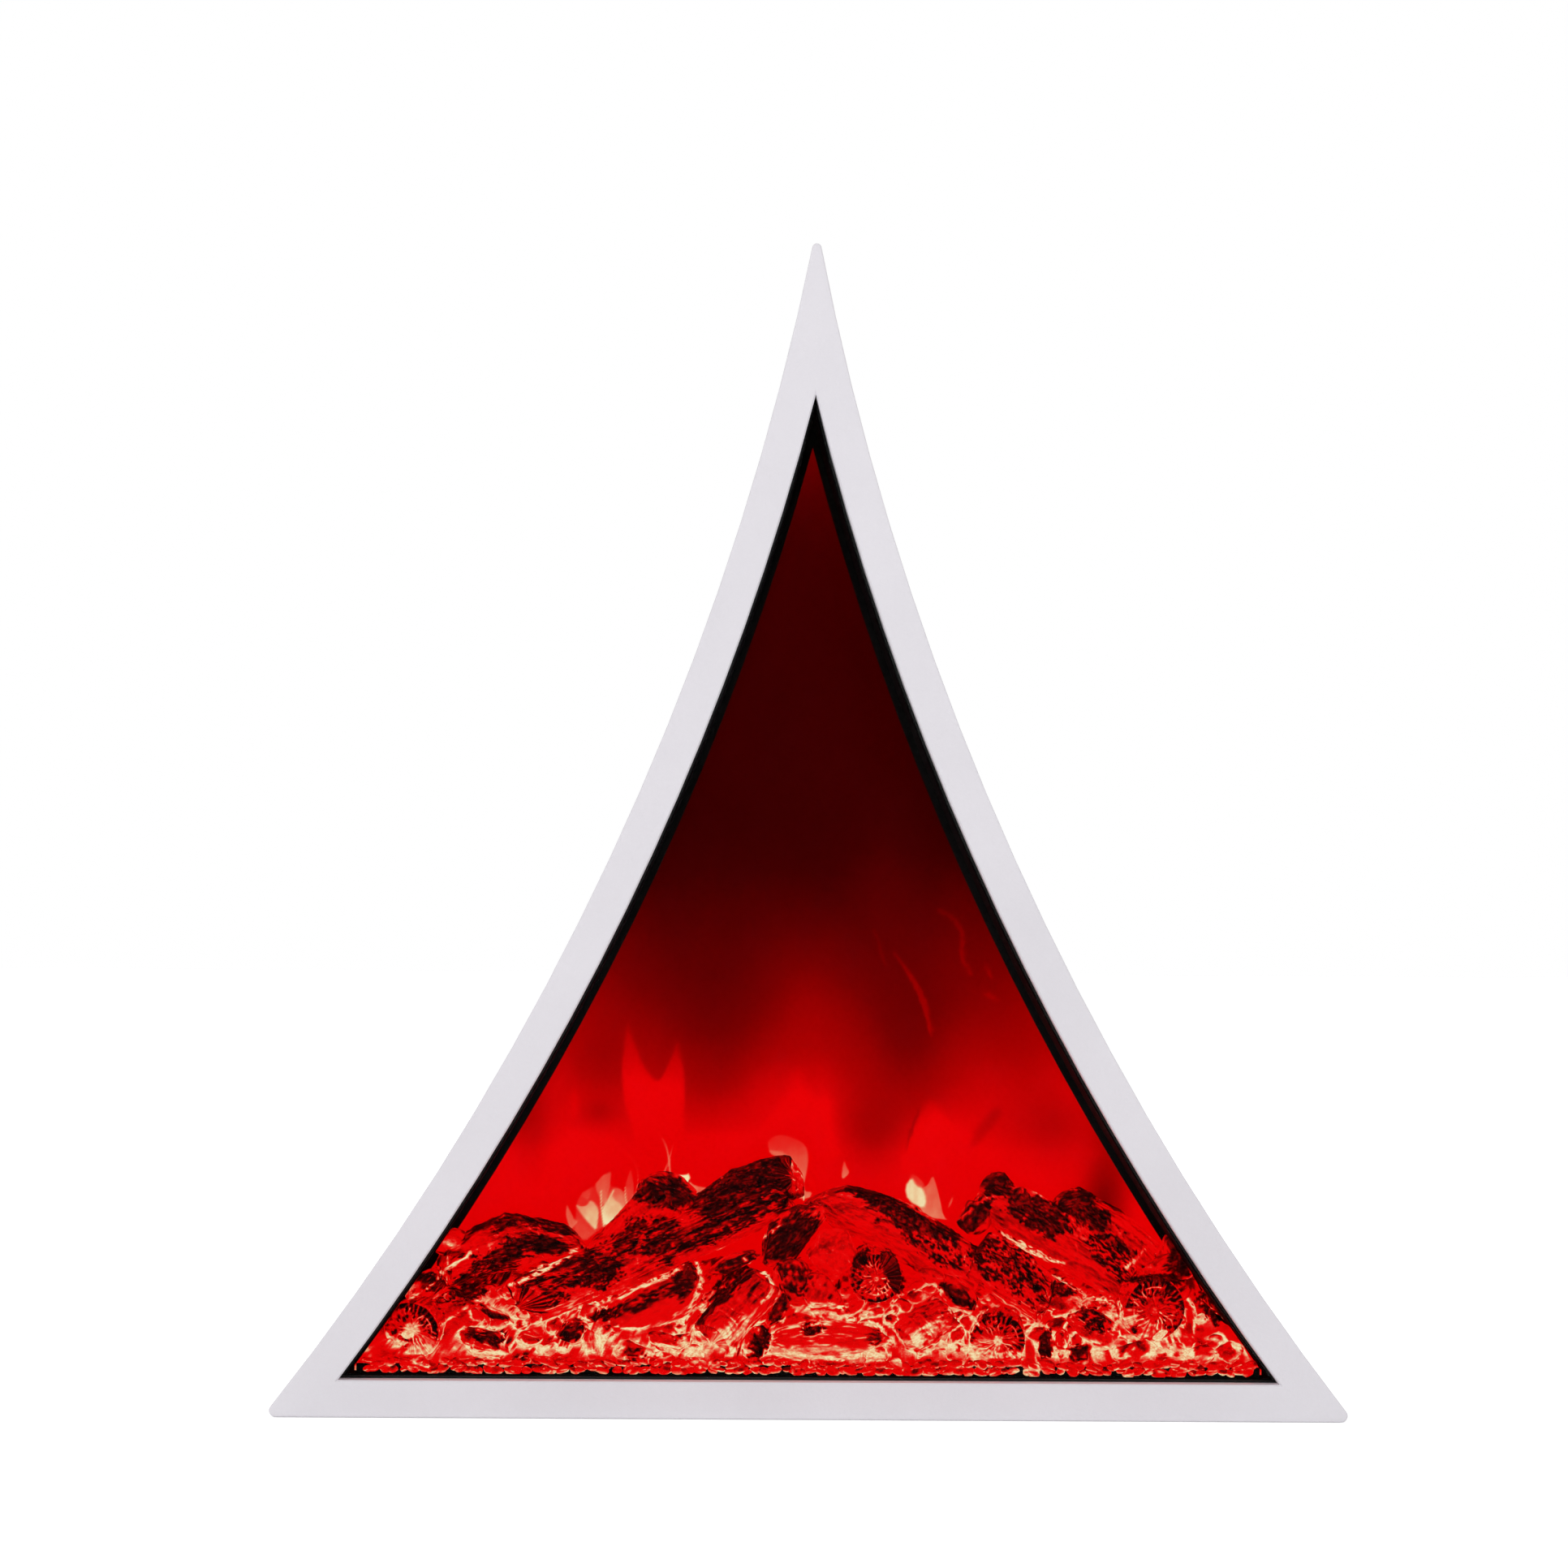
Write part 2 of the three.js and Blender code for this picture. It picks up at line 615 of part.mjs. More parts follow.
function rotorBush() {
  const body = bar("x", 4.5, bearingPlate - 3, bearingPlate + steel + 1, 0, 0, 20);
  const flange = bar("x", 7, bearingPlate + steel + gap, bearingPlate + steel + 2.3, 0, 0, 20);
  const bore = bar("x", rotorShaftRadius + runningGap, -rotorHalfLength - 20, 0, 0, 0, 16);
  return cut(join(body, flange), bore).translate(0, rotorDepth, rotorHeight);
}
add("rotor_bush", rotorBush(), whitePlastic);
add("motor_bracket", bracketPlate(motorPlate, 6, 1), brightMetal);

function flameMotor() {
  const face = motorPlate + steel + gap;
  const can = bar("x", motorRadius, face, face + motorLength, rotorDepth, rotorHeight, 28);
  const boss = bar("x", 5.5, motorPlate - 1, face + 1, rotorDepth, rotorHeight, 16);
  const shaft = bar("x", rotorShaftRadius, rotorHalfLength + 3, face + 1, rotorDepth, rotorHeight, 12);
  const plug = box(face + motorLength - 1, rotorDepth - 7, rotorHeight - 24, face + motorLength + 5,
    rotorDepth + 7, rotorHeight - 12);
  return join(can, boss, shaft, plug);
}
add("flame_motor", flameMotor(), brightMetal);

// ---------------------------------------------------------------- fan heater

const scrollWall = 3;
const scrollTop = wheelHeight + wheelRadius + 12;

function blowerScroll() {
  const block = box(blowerLeft, scrollFront, floorTop, blowerRight, scrollBack, scrollTop);
  const left = blowerLeft + scrollWall;
  const right = blowerRight - scrollWall;
  const chamber = bar("x", wheelRadius + 3, left, right, wheelDepth, wheelHeight, 24);
  const outlet = box(left, scrollFront + scrollWall, wheelHeight, right, wheelDepth, scrollTop + 1);
  const intake = box(left + 6, wheelDepth + 8, wheelHeight - 15, right - 6, scrollBack + 1, wheelHeight + 15);
  const shaftHole = bar("x", 4, blowerLeft - 1, blowerRight + 1, wheelDepth, wheelHeight, 16);
  return cut(block, chamber, outlet, intake, shaftHole);
}
add("blower_scroll", blowerScroll(), blackPlastic);

function blowerWheel() {
  const from = blowerLeft + scrollWall + 2.5;
  const to = blowerRight - scrollWall - 2.5;
  const blades = 14;
  let wheel = bar("x", 2.5, blowerLeft - 3, blowerRight + 8, 0, 0, 12);
  for (const end of [from, (from + to) / 2, to - 2]) {
    wheel = join(wheel, bar("x", wheelRadius, end, end + 2, 0, 0, 24));
  }
  for (let i = 0; i < blades; i++) {
    const blade = new THREE.BoxGeometry(to - from - 1, 1, 6);
    blade.rotateX(0.5).translate((from + to) / 2, 0, wheelRadius - 3.6);
    wheel = join(wheel, blade.rotateX((2 * Math.PI * i) / blades));
  }
  return wheel;
}
const wheel = add("blower_wheel", blowerWheel(), brightMetal);
wheel.position.set(0, wheelDepth, wheelHeight);

function blowerMotor() {
  const face = blowerRight + gap;
  const can = bar("x", 14, face, face + 30, wheelDepth, wheelHeight, 20);
  const coil = box(face + 6, wheelDepth - 18, wheelHeight - 11, face + 24, wheelDepth + 18, wheelHeight + 11);
  const bore = bar("x", 2.5 + runningGap, face - 1, face + 9, wheelDepth, wheelHeight, 12);
  return cut(join(can, coil), bore);
}
add("blower_motor", blowerMotor(), brightMetal);

function ptcHeater() {
  const bottom = scrollTop + gap;
  const front = scrollFront + 1;
  const back = wheelDepth + 5;
  const from = blowerLeft + 8;
  const to = blowerRight - 8;
  const fins = 14;
  const pitch = (to - from - 4) / fins;
  const slots = [];
  for (let i = 0; i < fins; i++) {
    const x = from + 4 + i * pitch;
    slots.push(box(x, front + 4, bottom - 1, x + pitch - 4, back - 4, bottom + 15));
  }
  return cut(box(from, front, bottom, to, back, bottom + 12), ...slots);
}
add("ptc_heater", ptcHeater(), heaterCeramic);

// ---------------------------------------------------------------- housing

// One level section of the housing: straight sides to the shoulder, then 45 degrees to the back.
function housingSection(z, inset, front, shoulder, back, ridge) {
  const half = halfWidth(z, inset);
  const rear = Math.max(half - (back - shoulder), ridge);
  const rearDepth = shoulder + half - rear;
  const right = [[half, front], [half, shoulder], [rear, rearDepth]];
  const left = right.map(([x, y]) => [-x, y]).reverse();
  return [...right, ...left].map(([x, y]) => new THREE.Vector3(x, y, z));
}

const levels = (from, to, steps) =>
  Array.from({ length: steps + 1 }, (_, i) => from + ((to - from) * i) / steps);

// Round holes for the back cover's screws, and where they go.
const screwRadius = 2;
const screwAt = (side, z) => [
  side * (halfWidth(z, housingInset) - taperDepth - backFlange / 2 - 1),
  z,
];
const screwSpots = [screwAt(-1, 40), screwAt(1, 40), screwAt(-1, 190), screwAt(1, 190)];
const screwHoles = screwSpots.map(([x, z]) =>
  bar("y", screwRadius + gap, backDepth - 8, coverBack + 2, x, z, 12),
);

function housingShell() {
  const outer = loft(
    levels(floorTop, housingTop, 20).map((z) =>
      housingSection(z, housingInset, flangeFront, shoulderDepth, backDepth, ridgeHalfWidth),
    ),
  );
  const inner = loft(
    levels(floorTop - 5, housingTop - steel, 20).map((z) =>
      housingSection(z, housingInset + steel, flangeFront + steel, shoulderDepth - 0.4 * steel,
        backDepth - steel, ridgeHalfWidth - steel),
    ),
  );
  const frontHole = sheet(
    outline({ side: housingInset + frontFlange, top: housingTop - 10 }),
    [],
    flangeFront - 1,
    steel + 2,
  );
  const backHole = sheet(coverOutline(backFlange, coverBottom + 14, coverTop - 34), [], backDepth - steel - 1,
    steel + 2);
  return cut(outer, inner, frontHole, backHole, ...sideVents(), panelCutout(), ...screwHoles);
}

// Slots in both flanks near the top, where the warm air leaves. The ridge between them stays.
function sideVents() {
  const count = 8;
  const slots = [];
  for (let i = 0; i < count; i++) {
    const z = 372 + i * 15;
    const slot = box(ridgeHalfWidth + 8, shoulderDepth + 10, z, 200, backDepth + 50, z + 5);
    slots.push(slot, mirrored(slot));
  }
  return slots;
}

// The outline of the back wall, drawn in from its edges.
function coverOutline(inset, bottom, top) {
  const right = levels(bottom, top, 12).map((z) => [
    Math.max(halfWidth(z, housingInset) - taperDepth - inset, 1),
    z,
  ]);
  const left = right.map(([x, z]) => [-x, z]).reverse();
  return [...right, ...left].map(([x, z]) => new THREE.Vector2(x, z));
}

const inletHalf = [14, 10.5];
const switchHalf = [7.5, 10.5];

function backCover() {
  const slots = [];
  for (let i = 0; i < 15; i++) {
    const x = blowerLeft + 12 + i * 10.3;
    slots.push(box(x, coverFront - 1, wheelHeight - 16, x + 4, coverBack + 1, wheelHeight + 16));
  }
  const bosses = boardSpots.map(([x, z]) => bar("y", 3, boardBack + gap, coverFront + 0.5, x, z, 10));
  const plate = sheet(coverOutline(0.5, coverBottom, coverTop), [], coverFront, steel);
  return cut(
    join(plate, ...bosses),
    ...slots,
    ...screwHoles,
    panelHole(inletX, inletHeight, inletHalf),
    panelHole(inletX, switchHeight, switchHalf),
  );
}

const panelHole = (x, z, [halfX, halfZ]) =>
  box(x - halfX - gap, coverFront - 1, z - halfZ - gap, x + halfX + gap, coverBack + 1, z + halfZ + gap);

function basePlate() {
  const front = flangeFront + gap;
  const edge = halfWidth(padHeight, baseInset);
  const back = edge - taperDepth;
  const right = [[edge, front], [edge, shoulderDepth], [back, backDepth]];
  const left = right.map(([x, y]) => [-x, y]).reverse();
  const shape = new THREE.Shape([...right, ...left].map(([x, y]) => new THREE.Vector2(x, y)));
  const plate = new THREE.ExtrudeGeometry(shape, { depth: steel, bevelEnabled: false });
  const gusset = cornerGusset(edge);
  return join(plate.translate(0, 0, padHeight), gusset, mirrored(gusset));
}

// A wing folded up from the base plate in the plane of the room's wall, with a keyhole.
function cornerGusset(edge) {
  const length = taperDepth * Math.SQRT2;
  const wing = new THREE.Shape();
  wing.moveTo(0, 0);
  wing.lineTo(length, 0);
  wing.lineTo(length, gussetHeight);
  wing.lineTo(length - 34, gussetHeight);
  wing.lineTo(0, 4);
  const keyhole = new THREE.Path();
  const keyX = length - 17;
  const keyZ = gussetHeight - 26;
  const slotHalf = 2.2;
  const slotAngle = Math.asin(slotHalf / keyholeRadius);
  const arcFrom = Math.PI / 2 + slotAngle;
  keyhole.absarc(keyX, keyZ, keyholeRadius, arcFrom, arcFrom + 2 * (Math.PI - slotAngle), false);
  keyhole.lineTo(keyX + slotHalf, keyZ + 11);
  keyhole.lineTo(keyX - slotHalf, keyZ + 11);
  wing.holes.push(keyhole);
  const geometry = new THREE.ExtrudeGeometry(wing, { depth: steel, bevelEnabled: false, curveSegments: 8 });
  const along = new THREE.Vector3(-1, 1, 0).normalize();
  const up = new THREE.Vector3(0, 0, 1);
  const out = new THREE.Vector3(1, 1, 0).normalize();
  const place = new THREE.Matrix4().makeBasis(along, up, out);
  place.setPosition(new THREE.Vector3(edge, shoulderDepth, padHeight + 0.5).addScaledVector(out, -steel));
  return geometry.applyMatrix4(place);
}

const boardBack = coverFront - 7;
const boardHalf = [48, 28];
const boardMiddle = 132;
const boardSpots = [[-1, -1], [1, -1], [-1, 1], [1, 1]].map(([sx, sz]) => [
  sx * (boardHalf[0] - 5),
  boardMiddle + sz * (boardHalf[1] - 5),
]);

add("base_plate", basePlate(), blackSteel);
add("housing_shell", housingShell(), blackSteel);
add("back_cover", backCover(), blackSteel);

screwSpots.forEach(([x, z], i) => {
  const profile = [[0, 0], [3.8, 0], [3.8, 0.8], [2.6, 2.2], [0, 2.4]];
  const head = new THREE.LatheGeometry(profile.map(([r, h]) => new THREE.Vector2(r, h)), 16);
  const shank = bar("y", screwRadius, -8, 0.2, 0, 0, 12);
  const cross = [box(-2, 1.4, -0.4, 2, 3, 0.4), box(-0.4, 1.4, -2, 0.4, 3, 2)];
  const screw = add(`back_screw_${i + 1}`, cut(join(head, shank), ...cross), brightMetal);
  screw.position.set(x, coverBack + gap, z);
});

[[-240, 50], [240, 50], [-170, 185], [170, 185]].forEach(([x, y], i) => {
  const pad = new THREE.CylinderGeometry(padRadius, padRadius - 1, padHeight - gap, 20);
  const foot = add(`foot_pad_${i + 1}`, pad.rotateX(Math.PI / 2), blackRubber);
  foot.position.set(x, y, (padHeight - gap) / 2);
});

// ---------------------------------------------------------------- mains inlet and switch

function powerInlet() {
  const [halfX, halfZ] = inletHalf;
  const face = coverBack + gap;
  const block = (dx, dz, from, to) =>
    box(inletX - dx, face + from, inletHeight - dz, inletX + dx, face + to, inletHeight + dz);
  const flange = block(halfX + 4, halfZ + 3, 0, inletFlangeThickness);
  const body = block(halfX, halfZ, -22, 1);
  const recess = block(12, 8, -14, 5);
  const pins = [[-7, -3], [0, 2], [7, -3]].map(([x, z]) =>
    box(inletX + x - 1, face - 15, inletHeight + z - 2, inletX + x + 1, face - 1, inletHeight + z + 2),
  );
  return join(cut(join(flange, body), recess), ...pins);
}
add("power_inlet", powerInlet(), blackPlastic);

const rockerAxisDepth = coverBack + gap - 1;
const rockerTilt = THREE.MathUtils.degToRad(10);

function switchBody() {
  const [halfX, halfZ] = switchHalf;
  const face = coverBack + gap;
  const block = (dx, dz, from, to) =>
    box(inletX - dx, face + from, switchHeight - dz, inletX + dx, face + to, switchHeight + dz);
  const flange = block(halfX + 1.5, halfZ + 1.5, 0, 1.8);
  const body = block(halfX, halfZ, -15, 1);
  const well = block(6, 9.2, -9, 5);
  const pin = bar("x", 1, inletX - 6.5, inletX + 6.5, rockerAxisDepth, switchHeight, 12);
  return join(cut(join(flange, body), well), pin);
}
add("switch_body", switchBody(), blackPlastic);

// The rocker is a shallow V seen from the side, and rests with its lower half pressed in.
function switchRocker() {
  const profile = new THREE.Shape();
  profile.moveTo(-8.2, 1.9);
  profile.lineTo(0, 1.3);
  profile.lineTo(8.2, 1.9);
  profile.lineTo(7.8, -1.5);
  profile.lineTo(2.4, -3.6);
  profile.lineTo(-2.4, -3.6);
  profile.lineTo(-7.8, -1.5);
  const body = new THREE.ExtrudeGeometry(profile, { depth: 11, bevelEnabled: false });
  body.translate(0, 0, -5.5);
  body.applyMatrix4(new THREE.Matrix4().makeBasis(
    new THREE.Vector3(0, 0, 1),
    new THREE.Vector3(0, 1, 0),
    new THREE.Vector3(-1, 0, 0),
  ));
  return cut(body, bar("x", 1 + runningGap, -8, 8, 0, 0, 12));
}
const rocker = add("switch_rocker", switchRocker(), blackPlastic);
rocker.position.set(inletX, rockerAxisDepth, switchHeight);
rocker.rotation.x = rockerTilt;

function controlBoard() {
  const [halfX, halfZ] = boardHalf;
  const z = (offset) => boardMiddle + offset;
  const board = box(-halfX, boardBack - 1.6, z(-halfZ), halfX, boardBack, z(halfZ));
  const front = boardBack - 1.4;
  const relay = box(-38, front - 14, z(2), -20, front, z(16));
  const connector = box(10, front - 9, z(-22), 36, front, z(-14));
  const chip = box(0, front - 2, z(0), 14, front, z(12));
  const capacitor = bar("y", 6, front - 16, front, 28, z(10), 14);
  return join(board, relay, connector, chip, capacitor);
}
add("control_board", controlBoard(), boardGreen);

// ---------------------------------------------------------------- control panel on the right side

// A group whose local x runs up the side, y is the depth, and z points straight out of the wall.
const panelGroup = new THREE.Group();
panelGroup.position.set(halfWidth(panelHeight, housingInset), panelDepth, panelHeight);
panelGroup.rotation.y = Math.PI / 2 - panelTurn;
fireplace.add(panelGroup);

const panelThickness = 2.5;
const buttonFlange = 1.2;
const buttonFlangeRadius = 6;

function panelCutout() {
  const hole = new THREE.BoxGeometry(panelLength - 10, panelWidth - 8, 12);
  hole.rotateY(Math.PI / 2 - panelTurn);
  return hole.translate(halfWidth(panelHeight, housingInset), panelDepth, panelHeight);
}

const buttons = [
  { name: "button_power", at: -buttonPitch },
  { name: "button_flame", at: 0 },
  { name: "button_heat", at: buttonPitch },
];

const boardGap = 6.4; // from the panel's back to the button board
function controlPanel() {
  const [l, w] = [panelLength / 2, panelWidth / 2];
  const plate = box(-l, -w, panelRise, l, w, panelRise + panelThickness);
  const posts = [-1, 1].map((end) =>
    box(end * 29 - 2, -5, panelRise - boardGap + gap, end * 29 + 2, 5, panelRise + 0.5),
  );
  const holes = buttons.map(({ at }) =>
    bar("z", buttonRadius + gap, panelRise - 1, panelRise + panelThickness + 1, at, 0, 20),
  );
  return cut(join(plate, ...posts), ...holes);
}
add("control_panel", controlPanel(), blackPlastic, panelGroup);

function buttonBoard() {
  const top = panelRise - boardGap;
  const bumps = buttons.map(({ at }) => box(at - 2, -2, top - 0.5, at + 2, 2, top + 2.6));
  return join(box(-32, -8, top - 1.6, 32, 8, top), ...bumps);
}
add("button_board", buttonBoard(), boardGreen, panelGroup);

buttons.forEach(({ name, at }) => {
  const flangeTop = panelRise - gap;
  const flange = bar("z", buttonFlangeRadius, flangeTop - buttonFlange, flangeTop, 0, 0, 20);
  const capTop = panelRise + panelThickness + buttonTravel + 0.5;
  const cap = bar("z", buttonRadius, flangeTop - 0.2, capTop, 0, 0, 20);
  const button = add(name, join(flange, cap), whitePlastic, panelGroup);
  button.position.x = at;
});

export default fireplace;
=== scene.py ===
import math

import bmesh
import bpy
import numpy as np
from mathutils import Matrix, Vector
from mathutils.bvhtree import BVHTree


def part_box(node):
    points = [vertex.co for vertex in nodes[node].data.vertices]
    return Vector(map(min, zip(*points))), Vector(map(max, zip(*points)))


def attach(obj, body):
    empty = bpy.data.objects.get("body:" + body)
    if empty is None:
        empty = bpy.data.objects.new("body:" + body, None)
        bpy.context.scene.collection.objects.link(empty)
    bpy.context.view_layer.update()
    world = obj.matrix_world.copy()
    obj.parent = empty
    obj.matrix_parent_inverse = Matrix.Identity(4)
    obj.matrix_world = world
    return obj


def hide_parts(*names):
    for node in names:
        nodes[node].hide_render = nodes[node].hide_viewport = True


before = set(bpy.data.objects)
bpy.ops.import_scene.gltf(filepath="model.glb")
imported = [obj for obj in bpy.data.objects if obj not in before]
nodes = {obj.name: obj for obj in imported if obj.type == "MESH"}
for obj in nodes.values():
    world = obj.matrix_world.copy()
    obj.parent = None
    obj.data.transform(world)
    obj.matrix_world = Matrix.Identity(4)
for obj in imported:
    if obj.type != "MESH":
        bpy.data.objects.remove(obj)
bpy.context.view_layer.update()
mm = 0.001
print("frame loaded with", len(nodes), "nodes")

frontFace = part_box("front_frame")[0].y  # the painted face of the frame


# camera

camera = {
    "distance": 3.2,  # from the painted face
    "x": -0.0699,
    "height": 0.3256,
    "turnRight": 0.919,  # degrees
    "tiltUp": 1.340,
    "roll": 0.388,
    "lens": 116.37,
    "sensor": 36.0,
    "photoSize": 1932,  # pixels, both ways
}


def cameraAxes():
    turn, tilt, roll = (math.radians(camera[key]) for key in ("turnRight", "tiltUp", "roll"))
    forward = Vector((math.sin(turn) * math.cos(tilt), math.cos(turn) * math.cos(tilt), math.sin(tilt)))
    level = Vector((math.cos(turn), -math.sin(turn), 0.0))
    upright = level.cross(forward)
    right = level * math.cos(roll) + upright * math.sin(roll)
    up = upright * math.cos(roll) - level * math.sin(roll)
    return right, up, forward


cameraSpot = Vector((camera["x"], frontFace - camera["distance"], camera["height"]))
cameraRight, cameraUp, cameraForward = cameraAxes()
pixelFocus = camera["lens"] / camera["sensor"] * camera["photoSize"]


def makeCamera():
    data = bpy.data.cameras.new("photoCamera")
    data.lens = camera["lens"]
    data.sensor_width = camera["sensor"]
    data.clip_end = 60
    eye = bpy.data.objects.new("photoCamera", data)
    turned = Matrix((cameraRight, cameraUp, -cameraForward)).transposed()
    eye.matrix_world = Matrix.Translation(cameraSpot) @ turned.to_4x4()
    bpy.context.scene.collection.objects.link(eye)
    bpy.context.scene.camera = eye


def pixelsOf(points):
    # where points land in the photograph, as two arrays
    seen = points - np.array(cameraSpot)
    deep = seen @ np.array(cameraForward)
    half = camera["photoSize"] / 2
    across = half + pixelFocus * (seen @ np.array(cameraRight)) / deep
    down = half - pixelFocus * (seen @ np.array(cameraUp)) / deep
    return across, down


def behindPixel(px, py, y):
    # the point behind a pixel of the photograph, on the plane at that y
    half = camera["photoSize"] / 2
    ray = cameraForward + cameraRight * ((px - half) / pixelFocus) + cameraUp * ((half - py) / pixelFocus)
    return cameraSpot + ray * ((y - cameraSpot.y) / ray.y)


makeCamera()
print("camera placed")


# shader helpers

def tone(red, green, blue):
    # a colour as it reads on a screen, 0 to 255
    linear = [c / 12.92 if c <= 0.04045 else ((c + 0.055) / 1.055) ** 2.4 for c in
              (red / 255, green / 255, blue / 255)]
    return (*linear, 1.0)


def put(tree, kind, inputs=None, **settings):
    node = tree.nodes.new("ShaderNode" + kind)
    for key, value in settings.items():
        setattr(node, key, value)
    for key, value in (inputs or {}).items():
        if isinstance(value, bpy.types.NodeSocket):
            tree.links.new(value, node.inputs[key])
        else:
            node.inputs[key].default_value = value
    return node


def startFinish(name, **fixed):
    material = bpy.data.materials.new(name)
    material.use_nodes = True
    tree = material.node_tree
    shader = tree.nodes["Principled BSDF"]
    for key, value in fixed.items():
        shader.inputs[key.replace("_", " ")].default_value = value
    place = put(tree, "TexCoord").outputs["Object"]
    return material, tree, shader, place


def speckled(tree, place, size, detail=2.0, roughness=0.5):
    return put(tree, "TexNoise", {"Vector": place, "Scale": 1 / size, "Detail": detail,
                                  "Roughness": roughness}).outputs["Fac"]


def stretched(tree, place, scale):
    return put(tree, "Mapping", {"Vector": place, "Scale": scale}).outputs["Vector"]


def spread(tree, value, fromLow, fromHigh, toLow=0.0, toHigh=1.0):
    return put(tree, "MapRange", {"Value": value, "From Min": fromLow, "From Max": fromHigh,
                                  "To Min": toLow, "To Max": toHigh}).outputs["Result"]


def blended(tree, share, first, second):
    node = put(tree, "Mix", data_type="RGBA")
    tree.links.new(share, node.inputs["Factor"])
    for key, value in (("A", first), ("B", second)):
        socket = [s for s in node.inputs if s.name == key and s.type == "RGBA"][0]
        if isinstance(value, bpy.types.NodeSocket):
            tree.links.new(value, socket)
        else:
            socket.default_value = value
    return [s for s in node.outputs if s.type == "RGBA"][0]


def maths(tree, operation, first, second=None, clamp=False):
    node = put(tree, "Math", operation=operation, use_clamp=clamp)
    for index, value in enumerate((first, second)):
        if isinstance(value, bpy.types.NodeSocket):
            tree.links.new(value, node.inputs[index])
        elif value is not None:
            node.inputs[index].default_value = value
    return node.outputs[0]


def weighed(tree, first, second, share):
    # the two added, with that share of the first
    main = maths(tree, "MULTIPLY", first, share)
    return maths(tree, "ADD", main, maths(tree, "MULTIPLY", second, 1 - share))


def twoTones(tree, shader, share, dark, light, low=0.35, high=0.65):
    mix = spread(tree, share, low, high)
    tree.links.new(blended(tree, mix, tone(*dark), tone(*light)), shader.inputs["Base Color"])


def rough(tree, shader, share, low, high):
    tree.links.new(spread(tree, share, 0.25, 0.75, low, high), shader.inputs["Roughness"])


def raised(tree, shader, height, distance):
    bump = put(tree, "Bump", {"Height": height, "Distance": distance, "Strength": 1.0})
    tree.links.new(bump.outputs["Normal"], shader.inputs["Normal"])


# room

room = {
    "ambient": 0.50,  # what the room sends to the object
    "floorLift": 0.58,  # keeps the floor white round the soft shadow
    "floorReach": 20.0,
    "floorDrop": 0.0004,  # below the object's lowest face
    "softboxes": [  # place, size, power
        ("keyLight", (-2.2, -3.4, 1.5), 2.4, 68),
        ("fillLight", (2.5, -3.1, 0.9), 2.4, 42),
        ("rearLight", (-0.8, 3.2, 2.8), 2.6, 62),
    ],
    "aim": (0, 0, 0.3),
}


def backgroundRays(tree):
    # 1 on the rays that show the background: camera, mirror and glass rays
    rays = put(tree, "LightPath").outputs
    direct = maths(tree, "MAXIMUM", rays["Is Camera Ray"], rays["Is Glossy Ray"])
    return maths(tree, "MAXIMUM", direct, rays["Is Transmission Ray"])


def makeWorld():
    world = bpy.data.worlds.new("paleStudio")
    bpy.context.scene.world = world
    world.use_nodes = True
    tree = world.node_tree
    backdrop = tree.nodes["Background"]
    backdrop.inputs["Color"].default_value = (1, 1, 1, 1)
    level = spread(tree, backgroundRays(tree), 0.0, 1.0, room["ambient"])
    tree.links.new(level, backdrop.inputs["Strength"])


def makeFloor():
    mesh = bpy.data.meshes.new("floor")
    reach = room["floorReach"]
    corners = [(-reach, -reach, 0), (reach, -reach, 0), (reach, reach, 0), (-reach, reach, 0)]
    mesh.from_pydata(corners, [], [(0, 1, 2, 3)])
    floor = bpy.data.objects.new("floor", mesh)
    floor.location.z = -room["floorDrop"]
    bpy.context.scene.collection.objects.link(floor)
    material, tree, shader = startFinish("paleFloor", Base_Color=(0.86, 0.86, 0.87, 1), Roughness=0.9,
                                         Specular_IOR_Level=0.1, Emission_Color=(1, 1, 1, 1))[:3]
    lift = maths(tree, "MULTIPLY", backgroundRays(tree), room["floorLift"])
    tree.links.new(lift, shader.inputs["Emission Strength"])
    mesh.materials.append(material)


def makeLamps():
    for name, place, size, power in room["softboxes"]:
        data = bpy.data.lights.new(name, "AREA")
        data.shape = "SQUARE"
        data.size = size
        data.energy = power
        lamp = bpy.data.objects.new(name, data)
        lamp.location = place
        lamp.rotation_euler = (Vector(room["aim"]) - Vector(place)).to_track_quat("-Z", "Y").to_euler()
        lamp.visible_camera = False
        lamp.visible_glossy = False
        bpy.context.scene.collection.objects.link(lamp)


makeWorld()
makeFloor()
makeLamps()
bpy.context.scene.view_settings.view_transform = "Standard"
print("room and lamps placed")


# finishes of the cabinet

coats = {  # two tones and the size of their patches, roughness, size and depth of the grain, metal, gloss
    "blackPowderCoat": dict(tones=((40, 40, 42), (31, 31, 33)), patch=0.05, rough=(0.50, 0.62),
                            grain=0.0011, depth=0.00016, gloss=0.42),
    "fireboxBlack": dict(tones=((10, 9, 9), (5, 5, 5)), patch=0.03, rough=(0.75, 0.9),
                         grain=0.0014, depth=0.0001, gloss=0.06),
    "blackRubber": dict(tones=((34, 33, 33), (26, 26, 26)), patch=0.012, rough=(0.72, 0.85),
                        grain=0.0006, depth=0.00006, gloss=0.3),
    "blackPlastic": dict(tones=((38, 38, 40), (30, 30, 32)), patch=0.02, rough=(0.38, 0.52),
                         grain=0.0007, depth=0.00005, gloss=0.45),
    "rockerPlastic": dict(tones=((52, 52, 55), (44, 44, 46)), patch=0.008, rough=(0.25, 0.34),
                          grain=0.0009, depth=0.00002, gloss=0.5),
    "whitePlastic": dict(tones=((226, 224, 220), (216, 214, 209)), patch=0.01, rough=(0.3, 0.42),
                         grain=0.0008, depth=0.00003, gloss=0.45),
    "heaterCeramic": dict(tones=((196, 190, 180), (150, 146, 140)), patch=0.004, rough=(0.45, 0.65),
                          grain=0.001, depth=0.0001, metal=0.4, gloss=0.4),
}


